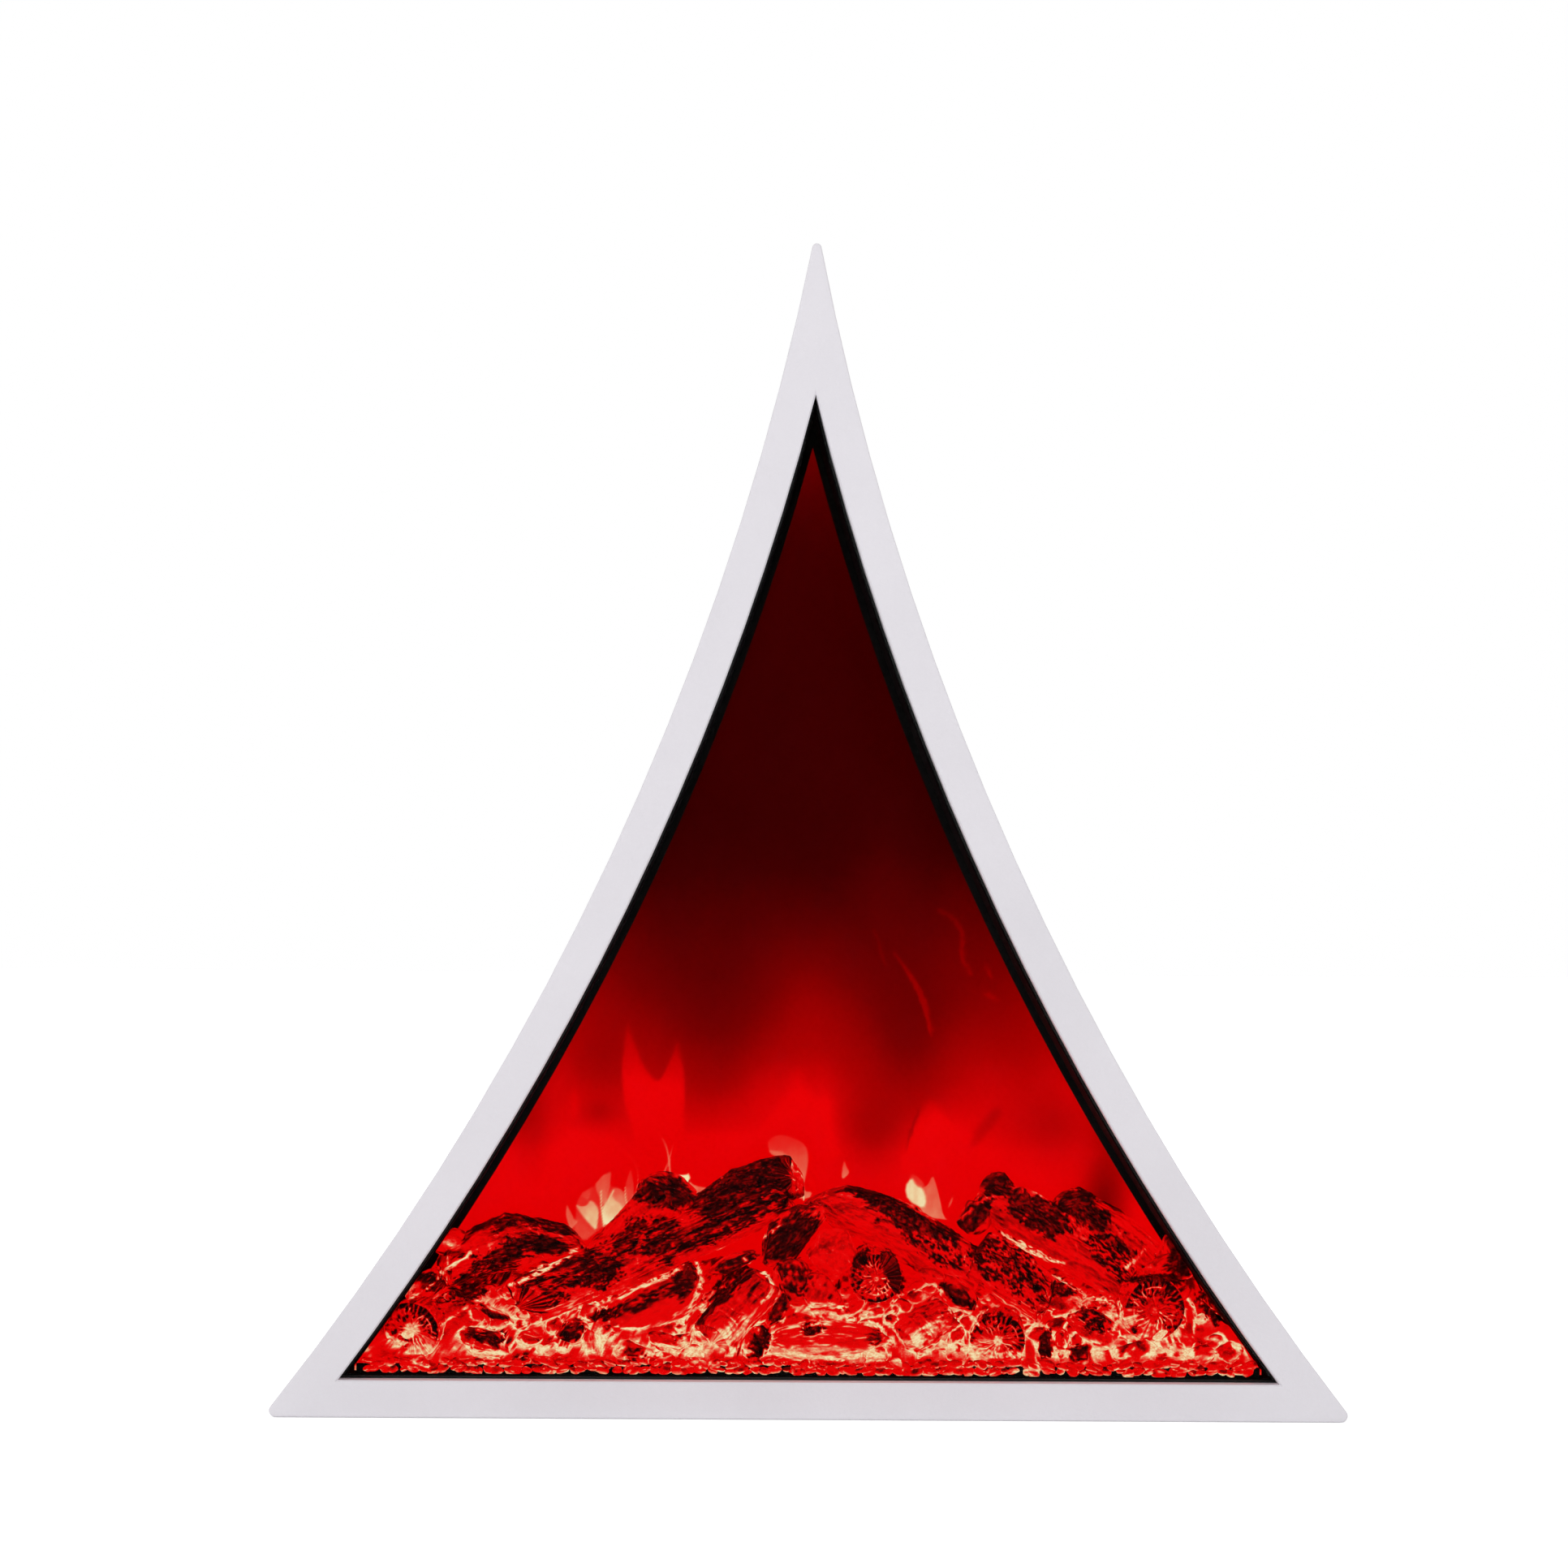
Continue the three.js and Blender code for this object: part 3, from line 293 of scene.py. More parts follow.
def makeCoat(name):
    look = coats[name]
    metal = look.get("metal", 0.0)
    material, tree, shader, place = startFinish(name, Metallic=metal, Specular_IOR_Level=look["gloss"])
    patch = speckled(tree, place, look["patch"], 4, 0.6)
    specks = speckled(tree, place, look["grain"], 2.5, 0.55)
    light, dark = look["tones"]
    twoTones(tree, shader, weighed(tree, patch, specks, 0.7), dark, light)
    rough(tree, shader, patch, *look["rough"])
    raised(tree, shader, specks, look["depth"])
    return material


paint = {
    "pale": (221, 218, 223),
    "shade": (214, 211, 216),
    "peel": 0.0024,  # size of the orange peel
    "peelDepth": 0.0002,
    "dust": 0.0007,
    "cloud": 0.11,  # size of the wide, faint patches
    "rough": (0.34, 0.46),
}


def makePaint():
    material, tree, shader, place = startFinish("satinPaint", Specular_IOR_Level=0.35)
    peel = speckled(tree, place, paint["peel"], 1.5, 0.4)
    dust = speckled(tree, place, paint["dust"], 2, 0.6)
    cloud = speckled(tree, place, paint["cloud"], 3, 0.5)
    twoTones(tree, shader, weighed(tree, cloud, dust, 0.75), paint["shade"], paint["pale"], 0.3, 0.7)
    rough(tree, shader, peel, *paint["rough"])
    height = maths(tree, "ADD", peel, maths(tree, "MULTIPLY", dust, 0.25))
    raised(tree, shader, height, paint["peelDepth"])
    return material


metals = {  # two tones, stretch of the brushed grain, roughness
    "zincPlate": dict(tones=((186, 188, 190), (158, 160, 166)), brush=(1, 1, 1), rough=(0.28, 0.45)),
    "brightSheet": dict(tones=((205, 207, 210), (182, 184, 188)), brush=(0.06, 1, 1), rough=(0.12, 0.26)),
}


def makeMetal(name):
    look = metals[name]
    material, tree, shader, place = startFinish(name, Metallic=1.0)
    brushed = speckled(tree, stretched(tree, place, look["brush"]), 0.0008, 3, 0.6)
    bloom = speckled(tree, place, 0.009, 4, 0.65)
    share = weighed(tree, brushed, bloom, 0.5)
    light, dark = look["tones"]
    twoTones(tree, shader, share, dark, light)
    rough(tree, shader, share, *look["rough"])
    raised(tree, shader, brushed, 0.00003)
    return material


def makeBoard():
    # solder mask with lighter copper tracks under it, on a plain grid
    material, tree, shader, place = startFinish("solderMask", Specular_IOR_Level=0.5)
    tracks = put(tree, "TexBrick", {"Vector": place, "Scale": 180.0, "Mortar Size": 0.06,
                                    "Color1": (0, 0, 0, 1), "Color2": (0.2, 0.2, 0.2, 1),
                                    "Mortar": (1, 1, 1, 1)}).outputs["Color"]
    weave = speckled(tree, place, 0.0006, 2, 0.5)
    base = blended(tree, weave, tone(10, 62, 38), tone(16, 78, 48))
    tree.links.new(blended(tree, tracks, base, tone(34, 110, 70)), shader.inputs["Base Color"])
    rough(tree, shader, weave, 0.3, 0.42)
    raised(tree, shader, tracks, 0.00005)
    return material


def makeGlass():
    # a thin pane: nearly all passes, and a faint even reflection stays
    material, tree, shader, place = startFinish("clearPane")
    smear = speckled(tree, place, 0.09, 4, 0.6)
    clear = put(tree, "BsdfTransparent", {"Color": (0.97, 0.985, 0.98, 1)}).outputs[0]
    shine = put(tree, "BsdfGlossy", {"Color": (1, 1, 1, 1)})
    rough(tree, shine, smear, 0.02, 0.06)
    faint = put(tree, "Fresnel", {"IOR": 1.03}).outputs[0]
    mix = put(tree, "MixShader", {0: faint, 1: clear, 2: shine.outputs[0]})
    tree.links.new(mix.outputs[0], tree.nodes["Material Output"].inputs["Surface"])
    tree.nodes.remove(shader)
    return material


finishes = {name: makeCoat(name) for name in coats}
finishes.update({name: makeMetal(name) for name in metals})
finishes["satinPaint"] = makePaint()
finishes["solderMask"] = makeBoard()
finishes["clearPane"] = makeGlass()


# edges and shading of the CAD nodes

def makeSmoothing():
    group = bpy.data.node_groups.new("smoothShallowEdges", "GeometryNodeTree")
    for way in ("INPUT", "OUTPUT"):
        group.interface.new_socket("Geometry", in_out=way, socket_type="NodeSocketGeometry")
    enter = group.nodes.new("NodeGroupInput")
    leave = group.nodes.new("NodeGroupOutput")
    angle = group.nodes.new("GeometryNodeInputMeshEdgeAngle")
    shallow = group.nodes.new("FunctionNodeCompare")
    shallow.operation = "LESS_THAN"
    shallow.inputs["B"].default_value = math.radians(24)
    faces = group.nodes.new("GeometryNodeSetShadeSmooth")
    edges = group.nodes.new("GeometryNodeSetShadeSmooth")
    edges.domain = "EDGE"
    group.links.new(enter.outputs[0], faces.inputs["Geometry"])
    group.links.new(angle.outputs["Unsigned Angle"], shallow.inputs["A"])
    group.links.new(faces.outputs[0], edges.inputs["Geometry"])
    group.links.new(shallow.outputs[0], edges.inputs["Shade Smooth"])
    group.links.new(edges.outputs[0], leave.inputs[0])
    return group


smoothing = makeSmoothing()


def dress(name, finish, edge=0.25):
    # the finish of a CAD node, and its edges broken by that many millimetres
    node = nodes[name]
    node.data.materials.clear()
    node.data.materials.append(finishes[finish])
    weld = node.modifiers.new("weldSeams", "WELD")
    weld.merge_threshold = 0.002 * mm
    if edge:
        bevel = node.modifiers.new("brokenEdges", "BEVEL")
        bevel.width = edge * mm
        bevel.segments = 2
        bevel.limit_method = "ANGLE"
        bevel.angle_limit = math.radians(35)
        bevel.use_clamp_overlap = True
    soft = node.modifiers.new("smoothShallowEdges", "NODES")
    soft.node_group = smoothing
    even = node.modifiers.new("flatFacesStayFlat", "WEIGHTED_NORMAL")
    even.weight = 90
    even.keep_sharp = True


def numbered(name):
    return [f"{name}_{number}" for number in (1, 2, 3, 4)]


dressing = {  # width of the broken edge in millimetres, and the nodes
    "satinPaint": (0.35, ["front_frame"]),
    "clearPane": (0.3, ["front_glass"]),
    "blackRubber": (0.2, ["glass_gasket", "rotor_coupling", *numbered("foot_pad")]),
    "fireboxBlack": (0.2, ["firebox_liner", "screen_mask", "screen_retainer", "ember_tray",
                           "flame_stencil"]),
    "blackPowderCoat": (0.3, ["housing_shell", "base_plate", "back_cover"]),
    "blackPlastic": (0.3, ["power_inlet", "switch_body", "control_panel", "blower_scroll"]),
    "rockerPlastic": (0.3, ["switch_rocker"]),
    "whitePlastic": (0.3, ["rotor_bush", "button_power", "button_flame", "button_heat"]),
    "heaterCeramic": (0.15, ["ptc_heater"]),
    "zincPlate": (0.2, [*numbered("back_screw"), "rotor_shaft", "bearing_bracket", "motor_bracket",
                        "flame_motor", "blower_motor"]),
    "brightSheet": (0.1, ["flame_led_bar", *numbered("rotor_vane"), "blower_wheel"]),
    "solderMask": (0.1, ["ember_led_board", "control_board", "button_board"]),
}
for finish, (edge, names) in dressing.items():
    for name in names:
        dress(name, finish, edge)
print("cabinet finishes set")


# noise and easing for the fire

def ease(low, high, value):
    # 0 below low, 1 above high, with a soft turn between; low may be the larger one
    share = np.clip((value - low) / (high - low), 0, 1)
    return share * share * (3 - 2 * share)


def latticeValue(cells, seed):
    mask = 0xFFFFFFFF
    mixed = (cells[:, 0] * 374761393 + cells[:, 1] * 668265263 + cells[:, 2] * 1440662683
             + seed * 1274126177) & mask
    mixed = ((mixed ^ (mixed >> 13)) * 1274126177) & mask
    mixed = ((mixed ^ (mixed >> 15)) * 668265263) & mask
    return ((mixed ^ (mixed >> 16)) & 0xFFFF) / 32767.5 - 1


def grain(points, size, seed=0):
    # smooth noise from -1 to 1; size may be one number or one for each axis
    scaled = points / size
    cells = np.floor(scaled).astype(np.int64)
    part = scaled - cells
    part = part * part * (3 - 2 * part)
    total = np.zeros(len(points))
    for corner in range(8):
        step = np.array([corner & 1, corner >> 1 & 1, corner >> 2 & 1])
        weight = np.prod(np.where(step, part, 1 - part), axis=1)
        total += weight * latticeValue(cells + step, seed)
    return total


def layered(points, size, seed=0, layers=3):
    size = np.asarray(size, float)
    return sum(grain(points, size / 2 ** k, seed + 31 * k) / 2 ** k for k in range(layers)) / 1.6


def veins(points, size, width, seed=0):
    # 1 on thin winding lines, 0 away from them
    return ease(width, width * 0.25, np.abs(grain(points, size, seed)))


# shapes drawn in the photograph's pixels

def cornersCut(line, closed=False, times=2):
    # a polyline with its corners rounded off
    points = np.array(line, float)
    for _ in range(times):
        after = np.roll(points, -1, axis=0)
        cut = np.stack([0.75 * points + 0.25 * after, 0.25 * points + 0.75 * after], 1)
        if closed:
            points = cut.reshape(-1, points.shape[1])
        else:
            points = np.concatenate([points[:1], cut[:-1].reshape(-1, points.shape[1]), points[-1:]])
    return points


def nearBox(px, py, outline, margin):
    low, high = outline[:, :2].min(0) - margin, outline[:, :2].max(0) + margin
    return np.nonzero((px > low[0]) & (px < high[0]) & (py > low[1]) & (py < high[1]))[0]


def toSegment(px, py, start, end):
    # distance to a segment, and the share of the way along it
    step = end[:2] - start[:2]
    share = ((px - start[0]) * step[0] + (py - start[1]) * step[1]) / max(step @ step, 1e-9)
    share = np.clip(share, 0, 1)
    return np.hypot(px - start[0] - share * step[0], py - start[1] - share * step[1]), share


def outlineCover(px, py, outline, soft, rounding=1):
    # 1 inside a closed outline, 0 outside, soft over that many pixels each way
    outline = cornersCut(outline, closed=True, times=rounding)
    cover = np.zeros(len(px))
    pick = nearBox(px, py, outline, soft + 2)
    x, y = px[pick], py[pick]
    inside, near = np.zeros(len(pick), bool), np.full(len(pick), 1e9)
    for start, end in zip(outline, np.roll(outline, -1, axis=0)):
        crosses = (start[1] > y) != (end[1] > y)
        rise = end[1] - start[1] if end[1] != start[1] else 1e-9
        inside ^= crosses & (x < start[0] + (y - start[1]) / rise * (end[0] - start[0]))
        near = np.minimum(near, toSegment(x, y, start, end)[0])
    cover[pick] = ease(-soft, soft, np.where(inside, near, -near))
    return cover


def strokeCover(px, py, line, soft=1.0, rounding=2):
    # 1 along a line of (x, y, half width) points
    line = cornersCut(line, times=rounding)
    cover = np.zeros(len(px))
    pick = nearBox(px, py, line, line[:, 2].max() + soft + 2)
    best = np.zeros(len(pick))
    for start, end in zip(line[:-1], line[1:]):
        near, share = toSegment(px[pick], py[pick], start, end)
        half = start[2] + share * (end[2] - start[2])
        best = np.maximum(best, ease(half + soft, half - soft, near))
    cover[pick] = best
    return cover


def levelled(py, outline, high, low):
    # from high at the outline's top to low at its foot
    heights = [corner[1] for corner in outline]
    top, foot = min(heights), max(heights)
    return high + (low - high) * np.clip((py - top) / (foot - top), 0, 1)


def lightened(heat, target, cover):
    # the heat drawn up to the target by the cover, never down
    return np.where(target > heat, heat + (target - heat) * cover, heat)


def ovalReach(px, py, oval):
    # 0 at the middle of a leaning oval (x, y, half length, half breadth, lean), 1 at its edge
    x, y, long, broad, lean = oval[:5]
    turn = math.radians(lean)
    across, down = px - x, py - y
    first = (across * math.cos(turn) - down * math.sin(turn)) / long
    second = (across * math.sin(turn) + down * math.cos(turn)) / broad
    return np.hypot(first, second)


# fire colours

fireTones = [  # heat, and the colour it glows with
    (0.00, (0, 0, 0)), (0.15, (58, 0, 0)), (0.30, (116, 0, 0)), (0.45, (174, 0, 0)), (0.60, (231, 0, 1)),
    (0.70, (232, 2, 4)), (0.77, (233, 40, 32)), (0.84, (234, 88, 66)), (0.90, (235, 134, 100)),
    (0.95, (238, 180, 132)), (1.00, (246, 226, 176)),
]
pureRed = 0.60  # from here on the red turns to orange and cream
resinHeat = 0.65  # the bare resin, lit through


def fireRamp(tree, heat):
    node = put(tree, "ValToRGB", {"Fac": heat})
    stops = node.color_ramp.elements
    while len(stops) < len(fireTones):
        stops.new(0.5)
    for stop, (place, colour) in zip(stops, fireTones):
        stop.position = place
        stop.color = tone(*colour)
    return node.outputs["Color"]


fireFinishes = {  # size of the fine pattern, its stretch along the fibre, how much it shows, and the resin
    "flameScreenLight": dict(fine=0.0010, stretch=1.0, shows=0.022, gloss=0.0, rough=(0.45, 0.55),
                             dark=(5, 0, 0), light=(16, 0, 0), relief=0.0),
    "charredLog": dict(fine=0.0008, stretch=0.3, shows=0.34, gloss=0.02, rough=(0.75, 0.92),
                       dark=(6, 3, 3), light=(46, 3, 3), relief=0.0003),
    "glowingCoal": dict(fine=0.0009, stretch=0.5, shows=0.27, gloss=0.02, rough=(0.7, 0.9),
                        dark=(7, 3, 3), light=(52, 4, 3), relief=0.0003),
}


def makeFireFinish(name):
    # the glow is stored on the points; fine noise along the fibre breaks it up below a millimetre
    look = fireFinishes[name]
    material, tree, shader, _ = startFinish(name, Specular_IOR_Level=look["gloss"], Emission_Strength=1.0)
    heat = put(tree, "Attribute", attribute_name="emberGlow").outputs["Fac"]
    fibre = put(tree, "Attribute", attribute_name="fibrePlace").outputs["Vector"]
    along = stretched(tree, fibre, (look["stretch"], 1, 1))
    small = speckled(tree, along, look["fine"], 3, 0.6)
    wide = speckled(tree, along, look["fine"] * 3.5, 2, 0.5)
    noise = maths(tree, "ADD", maths(tree, "SUBTRACT", small, 0.55),
                  maths(tree, "MULTIPLY", maths(tree, "SUBTRACT", wide, 0.55), 0.8))
    shows = look["shows"]
    rise = spread(tree, heat, 0.0, 0.22, shows * 0.4, shows * 1.9)
    calm = spread(tree, heat, 0.34, 0.62, 1.0, 0.5)
    live = maths(tree, "MULTIPLY", rise, calm)
    broken = maths(tree, "ADD", heat, maths(tree, "MULTIPLY", noise, live), clamp=True)
    tree.links.new(fireRamp(tree, broken), shader.inputs["Emission Color"])
    tree.links.new(blended(tree, broken, tone(*look["dark"]), tone(*look["light"])),
                   shader.inputs["Base Color"])
    rough(tree, shader, small, *look["rough"])
    if look["relief"]:
        raised(tree, shader, small, look["relief"])
    return material


finishes.update({name: makeFireFinish(name) for name in fireFinishes})


def quadsOf(grid):
    # the faces between the rows and columns of a grid of point numbers
    return np.stack([grid[:-1, :-1], grid[:-1, 1:], grid[1:, 1:], grid[1:, :-1]], -1).reshape(-1, 4)


def makePiece(name, points, faces, heat, fibre, finish, replaced=()):
    mesh = bpy.data.meshes.new(name)
    mesh.from_pydata(points.tolist(), [], faces)
    glow = mesh.attributes.new("emberGlow", "FLOAT", "POINT")
    glow.data.foreach_set("value", np.clip(heat, 0, 1).astype(np.float32))
    place = mesh.attributes.new("fibrePlace", "FLOAT_VECTOR", "POINT")
    place.data.foreach_set("vector", fibre.astype(np.float32).ravel())
    mesh.polygons.foreach_set("use_smooth", [True] * len(mesh.polygons))
    mesh.materials.append(finishes[finish])
    mesh.validate()
    piece = bpy.data.objects.new(name, mesh)
    bpy.context.scene.collection.objects.link(piece)
    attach(piece, "cabinet")
    if replaced:
        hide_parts(*replaced)
    return piece


# shape of the firebox, as the frame has it

sideArc = {"radius": 1.740, "x": 1.7098858, "z": 1.0783207}  # the frame's outer edge
screenInset = 0.0193
linerInset = 0.0255


def halfWidth(z, inset):
    return sideArc["x"] - np.sqrt((sideArc["radius"] + inset) ** 2 - (z - sideArc["z"]) ** 2)


# flame screen

screenRows = [(0.092, 12), (0.186, 128), (0.325, 74), (1.0, 34)]  # up to that height, number of rows
screenColumns = [(-0.76, 22), (0.5, 330), (1.0, 40)]  # up to that share of the half width, number

backGlow = {  # brightness of the red light over the screen, in shades of 255, by pixel of the photograph
    "apexY": 555, "apexShade": 57, "apexReach": 75,
    "darkest": 47, "riseY": 1000, "fullY": 1420, "rise": 190, "riseCurve": 1.7,
    "edgeShade": 30, "edgeReach": 55, "edgeY": (1000, 1260),
    "clouds": [  # x, y, half width, half height, shades
        (1000, 1235, 52, 85, 30), (1120, 1300, 50, 90, -34), (885, 1265, 60, 75, -26),
        (890, 1330, 42, 30, -14), (1290, 1395, 62, 45, -34), (1366, 1462, 26, 60, -76),
        (1215, 1320, 60, 60, 10), (652, 1375, 26, 60, -44), (820, 1150, 60, 110, -8),
        (1085, 1060, 60, 90, 12), (742, 1310, 34, 40, -18), (1165, 1160, 45, 70, 9),
        (1352, 1500, 22, 40, -55), (1075, 1400, 42, 44, -52), (950, 1345, 40, 45, 26),
        (1010, 1345, 26, 40, 22), (738, 1372, 22, 16, -30), (905, 1415, 60, 16, 30),
        (1160, 1415, 34, 40, 36),
    ],
    "mottle": 5,  # shades
}

redShapes = [  # softness in pixels, shades at the top and at the foot, then the outline
    (3.2, 34, 84, (773, 1259), (776, 1272), (783, 1290), (791, 1310), (800, 1325), (810, 1333), (817, 1326),
     (824, 1309), (832, 1293), (835, 1283), (838, 1298), (843, 1318), (844, 1345), (841, 1375), (840, 1420),
     (790, 1430), (781, 1392), (772, 1366), (768, 1340), (766, 1312), (769, 1286)),
    (6, 26, 18, (704, 1340), (711, 1352), (713, 1366), (708, 1380), (703, 1368)),
    (9, 26, 30, (708, 1392), (716, 1404), (722, 1432), (690, 1440), (700, 1412)),
    (13, 26, 34, (983, 1314), (990, 1340), (1006, 1362), (1022, 1348), (1026, 1380), (1032, 1430),
     (930, 1430), (948, 1380), (972, 1350)),
    (7, 22, 44, (1134, 1365), (1150, 1352), (1170, 1388), (1172, 1440), (1112, 1440), (1122, 1400)),
    (4, -26, -30, (1228, 1362), (1236, 1372), (1206, 1410), (1190, 1418), (1204, 1390)),
]
redStrokes = [  # shades, then (x, y, half width) points
    (30, (1078, 1145, 0.8), (1084, 1171, 1.6), (1092, 1191, 0.8)),
    (46, (1102, 1175, 1.0), (1123, 1203, 3.4), (1138, 1232, 4.2), (1145, 1261, 2.4), (1148, 1275, 1.0)),
    (34, (1156, 1121, 1.5), (1176, 1131, 2.6), (1187, 1153, 3.4), (1184, 1176, 3.0), (1195, 1200, 1.5)),
    (34, (1213, 1185, 0.8), (1220, 1203, 2.0)),
    (32, (1211, 1224, 1.0), (1220, 1227, 2.4), (1229, 1232, 1.2)),
    (-46, (1134, 1366, 1.2), (1124, 1390, 2.0), (1116, 1419, 1.2)),
    (10, (775, 1371, 0.6), (792, 1376, 0.8), (806, 1388, 0.9), (816, 1404, 0.9)),
]

paleFlames = [  # softness in pixels, heat at the top and at the foot, then the outline
    (3.0, 0.74, 0.8, (709, 1482), (716, 1470), (729, 1463), (734, 1459), (745, 1452), (754, 1460),
     (769, 1470), (780, 1474), (775, 1490), (765, 1500), (750, 1508), (736, 1518), (722, 1530), (714, 1527),
     (704, 1515), (708, 1505)),
    (1.0, 0.82, 0.87, (698.5, 1482), (700, 1486), (705, 1495), (708, 1503), (713, 1505), (706, 1512),
     (703, 1518), (697, 1500), (697, 1490)),
    (1.6, 0.78, 0.8, (716, 1469), (723, 1467), (730, 1461), (729, 1470), (725, 1479), (718, 1476)),
    (1.2, 0.8, 0.87, (753.5, 1441), (753, 1452), (751, 1466), (745, 1487), (740, 1478), (736, 1470),
     (733, 1459), (738, 1453), (744, 1446), (749, 1446)),
    (2.0, 0.82, 0.97, (754, 1463), (764, 1463), (770, 1470), (771, 1488), (765, 1500), (745, 1512),
     (741, 1490), (748, 1478)),
    (1.1, 0.9, 0.99, (727, 1478), (734, 1483), (738, 1491), (737, 1503), (735, 1517), (726, 1508),
     (716, 1496), (708, 1483), (716, 1487), (724, 1485)),
    (1.4, 0.9, 1.0, (757, 1464), (754, 1476), (768, 1486), (766, 1499), (752, 1507), (744, 1511),
     (741, 1490), (748, 1480)),
    (1.6, 0.72, 0.84, (778, 1437), (774, 1446), (770, 1460), (769, 1474), (774, 1490), (778, 1484),
     (782, 1475), (781, 1456)),
    (2.2, 0.72, 0.91, (945, 1404), (946, 1416), (952, 1424), (964, 1425), (974, 1432), (982, 1442),
     (988, 1460), (991, 1459), (995, 1442), (997, 1425), (994, 1411), (980, 1401), (960, 1396)),
    (1.4, 0.86, 0.9, (946, 1417), (952, 1424.5), (964, 1425.5), (974, 1433), (983, 1444), (988, 1458),
     (985, 1440), (976, 1427), (964, 1419), (954, 1418)),
    (1.3, 0.8, 0.9, (987, 1457), (992, 1461), (992, 1468), (1002, 1468), (997, 1478), (976, 1476),
     (979, 1470)),
    (1.0, 0.8, 0.88, (1040, 1427), (1043, 1437), (1048, 1445), (1037, 1455), (1037, 1442)),
    (2.2, 0.74, 0.8, (1122, 1444), (1129, 1447), (1141, 1459), (1136, 1465), (1128, 1459), (1120, 1455)),
    (1.3, 0.82, 0.88, (1149.5, 1446), (1154, 1460), (1158, 1475), (1163, 1500), (1172, 1504), (1140, 1500),
     (1128, 1480), (1130, 1464), (1137, 1463), (1143, 1460)),
    (2.2, 0.97, 1.0, (1123, 1450), (1129, 1460), (1137, 1464), (1142, 1478), (1138, 1490), (1118, 1480),
     (1114, 1462)),
    (1.2, 0.8, 0.86, (1176, 1470), (1173, 1483), (1167, 1491), (1170, 1480)),
    (1.2, 1.0, 1.0, (825, 1447), (847, 1447.5), (848, 1444), (851.5, 1452), (848.5, 1454), (848.5, 1462),
     (826, 1462)),
    (1.3, 0.88, 0.84, (848, 1454), (857, 1461), (874, 1463.5), (866, 1472), (846, 1476)),
]
paleStrokes = [  # heat, then (x, y, half width) points
    (1.0, (740.6, 1467, 0.5), (740.5, 1486, 0.8), (744, 1511, 0.9)),
    (0.96, (756, 1467, 0.9), (751, 1476, 0.8), (745, 1488, 0.5)),
    (0.97, (770, 1463, 0.5), (771, 1480, 0.8), (775, 1489, 1.0)),
    (0.8, (772.5, 1421, 0.5), (780, 1428, 0.7), (785, 1438, 0.5)),
    (0.88, (785, 1438, 0.4), (786.5, 1450, 0.5), (785, 1465, 0.8), (782, 1476, 1.4)),
    (0.88, (816, 1402, 0.4), (821, 1411, 0.8), (824, 1427, 1.3), (826, 1449, 1.4)),
    (0.84, (829, 1410, 0.5), (826, 1422, 0.8), (825, 1436, 1.0)),
    (0.84, (824, 1430, 0.6), (820, 1441, 1.4), (815, 1452, 1.8)),
    (1.0, (989.5, 1465, 0.7), (990, 1479, 0.9)), (0.8, (996, 1451, 0.4), (1000, 1458, 0.5)),
    (0.76, (806, 1388, 0.4), (816, 1404, 0.6), (822, 1420, 0.6)),
]


def screenHeat(points):
    glow = backGlow
    px, py = pixelsOf(points)
    rise = np.clip((py - glow["riseY"]) / (glow["fullY"] - glow["riseY"]), 0, 1)
    shade = glow["darkest"] + glow["rise"] * rise ** glow["riseCurve"]
    shade += glow["apexShade"] * np.exp(-np.maximum(py - glow["apexY"], 0) / glow["apexReach"])
    edge = (halfWidth(points[:, 2], linerInset + 0.0045) - np.abs(points[:, 0])) / mm * 1.9
    edgeGlow = glow["edgeShade"] * np.exp(-np.maximum(edge, 0) / glow["edgeReach"])
    shade += edgeGlow * ease(*glow["edgeY"], py) * ease(1420, 1330, py)
    for x, y, wide, tall, shades in glow["clouds"]:
        shade += shades * np.exp(-((px - x) / wide) ** 2 - ((py - y) / tall) ** 2)
    flat = np.stack([px, py * 0.6, px * 0], 1)
    shade += glow["mottle"] * layered(flat, 60, 5) + 10 * rise * layered(flat, 110, 9)
    wobble = 1.6 * layered(flat, 16, 21)
    for soft, high, low, *outline in redShapes:
        shade += levelled(py, outline, high, low) * outlineCover(px + wobble, py, outline, soft)
    ragged = px + 2.2 * layered(flat, 5, 27)
    for shades, *line in redStrokes:
        shade += shades * strokeCover(ragged, py, line, 1.8)
    heat = pureRed * np.minimum(shade, 233) / 232
    cloth = 1 + 0.03 * layered(flat, 8, 33)
    for soft, high, low, *outline in paleFlames:
        target = levelled(py, outline, high, low) * cloth
        heat = lightened(heat, target, outlineCover(px, py, outline, soft))
    for level, *line in paleStrokes:
        heat = lightened(heat, level, strokeCover(px, py, line, 0.9))
    return np.clip(heat, 0, 1)


def unevenSteps(start, stretches):
    # places from start on, each stretch with its own number of even steps
    places = [np.array([start])]
    for end, count in stretches:
        places.append(np.linspace(start, end, count + 1)[1:])
        start = end
    return np.concatenate(places)


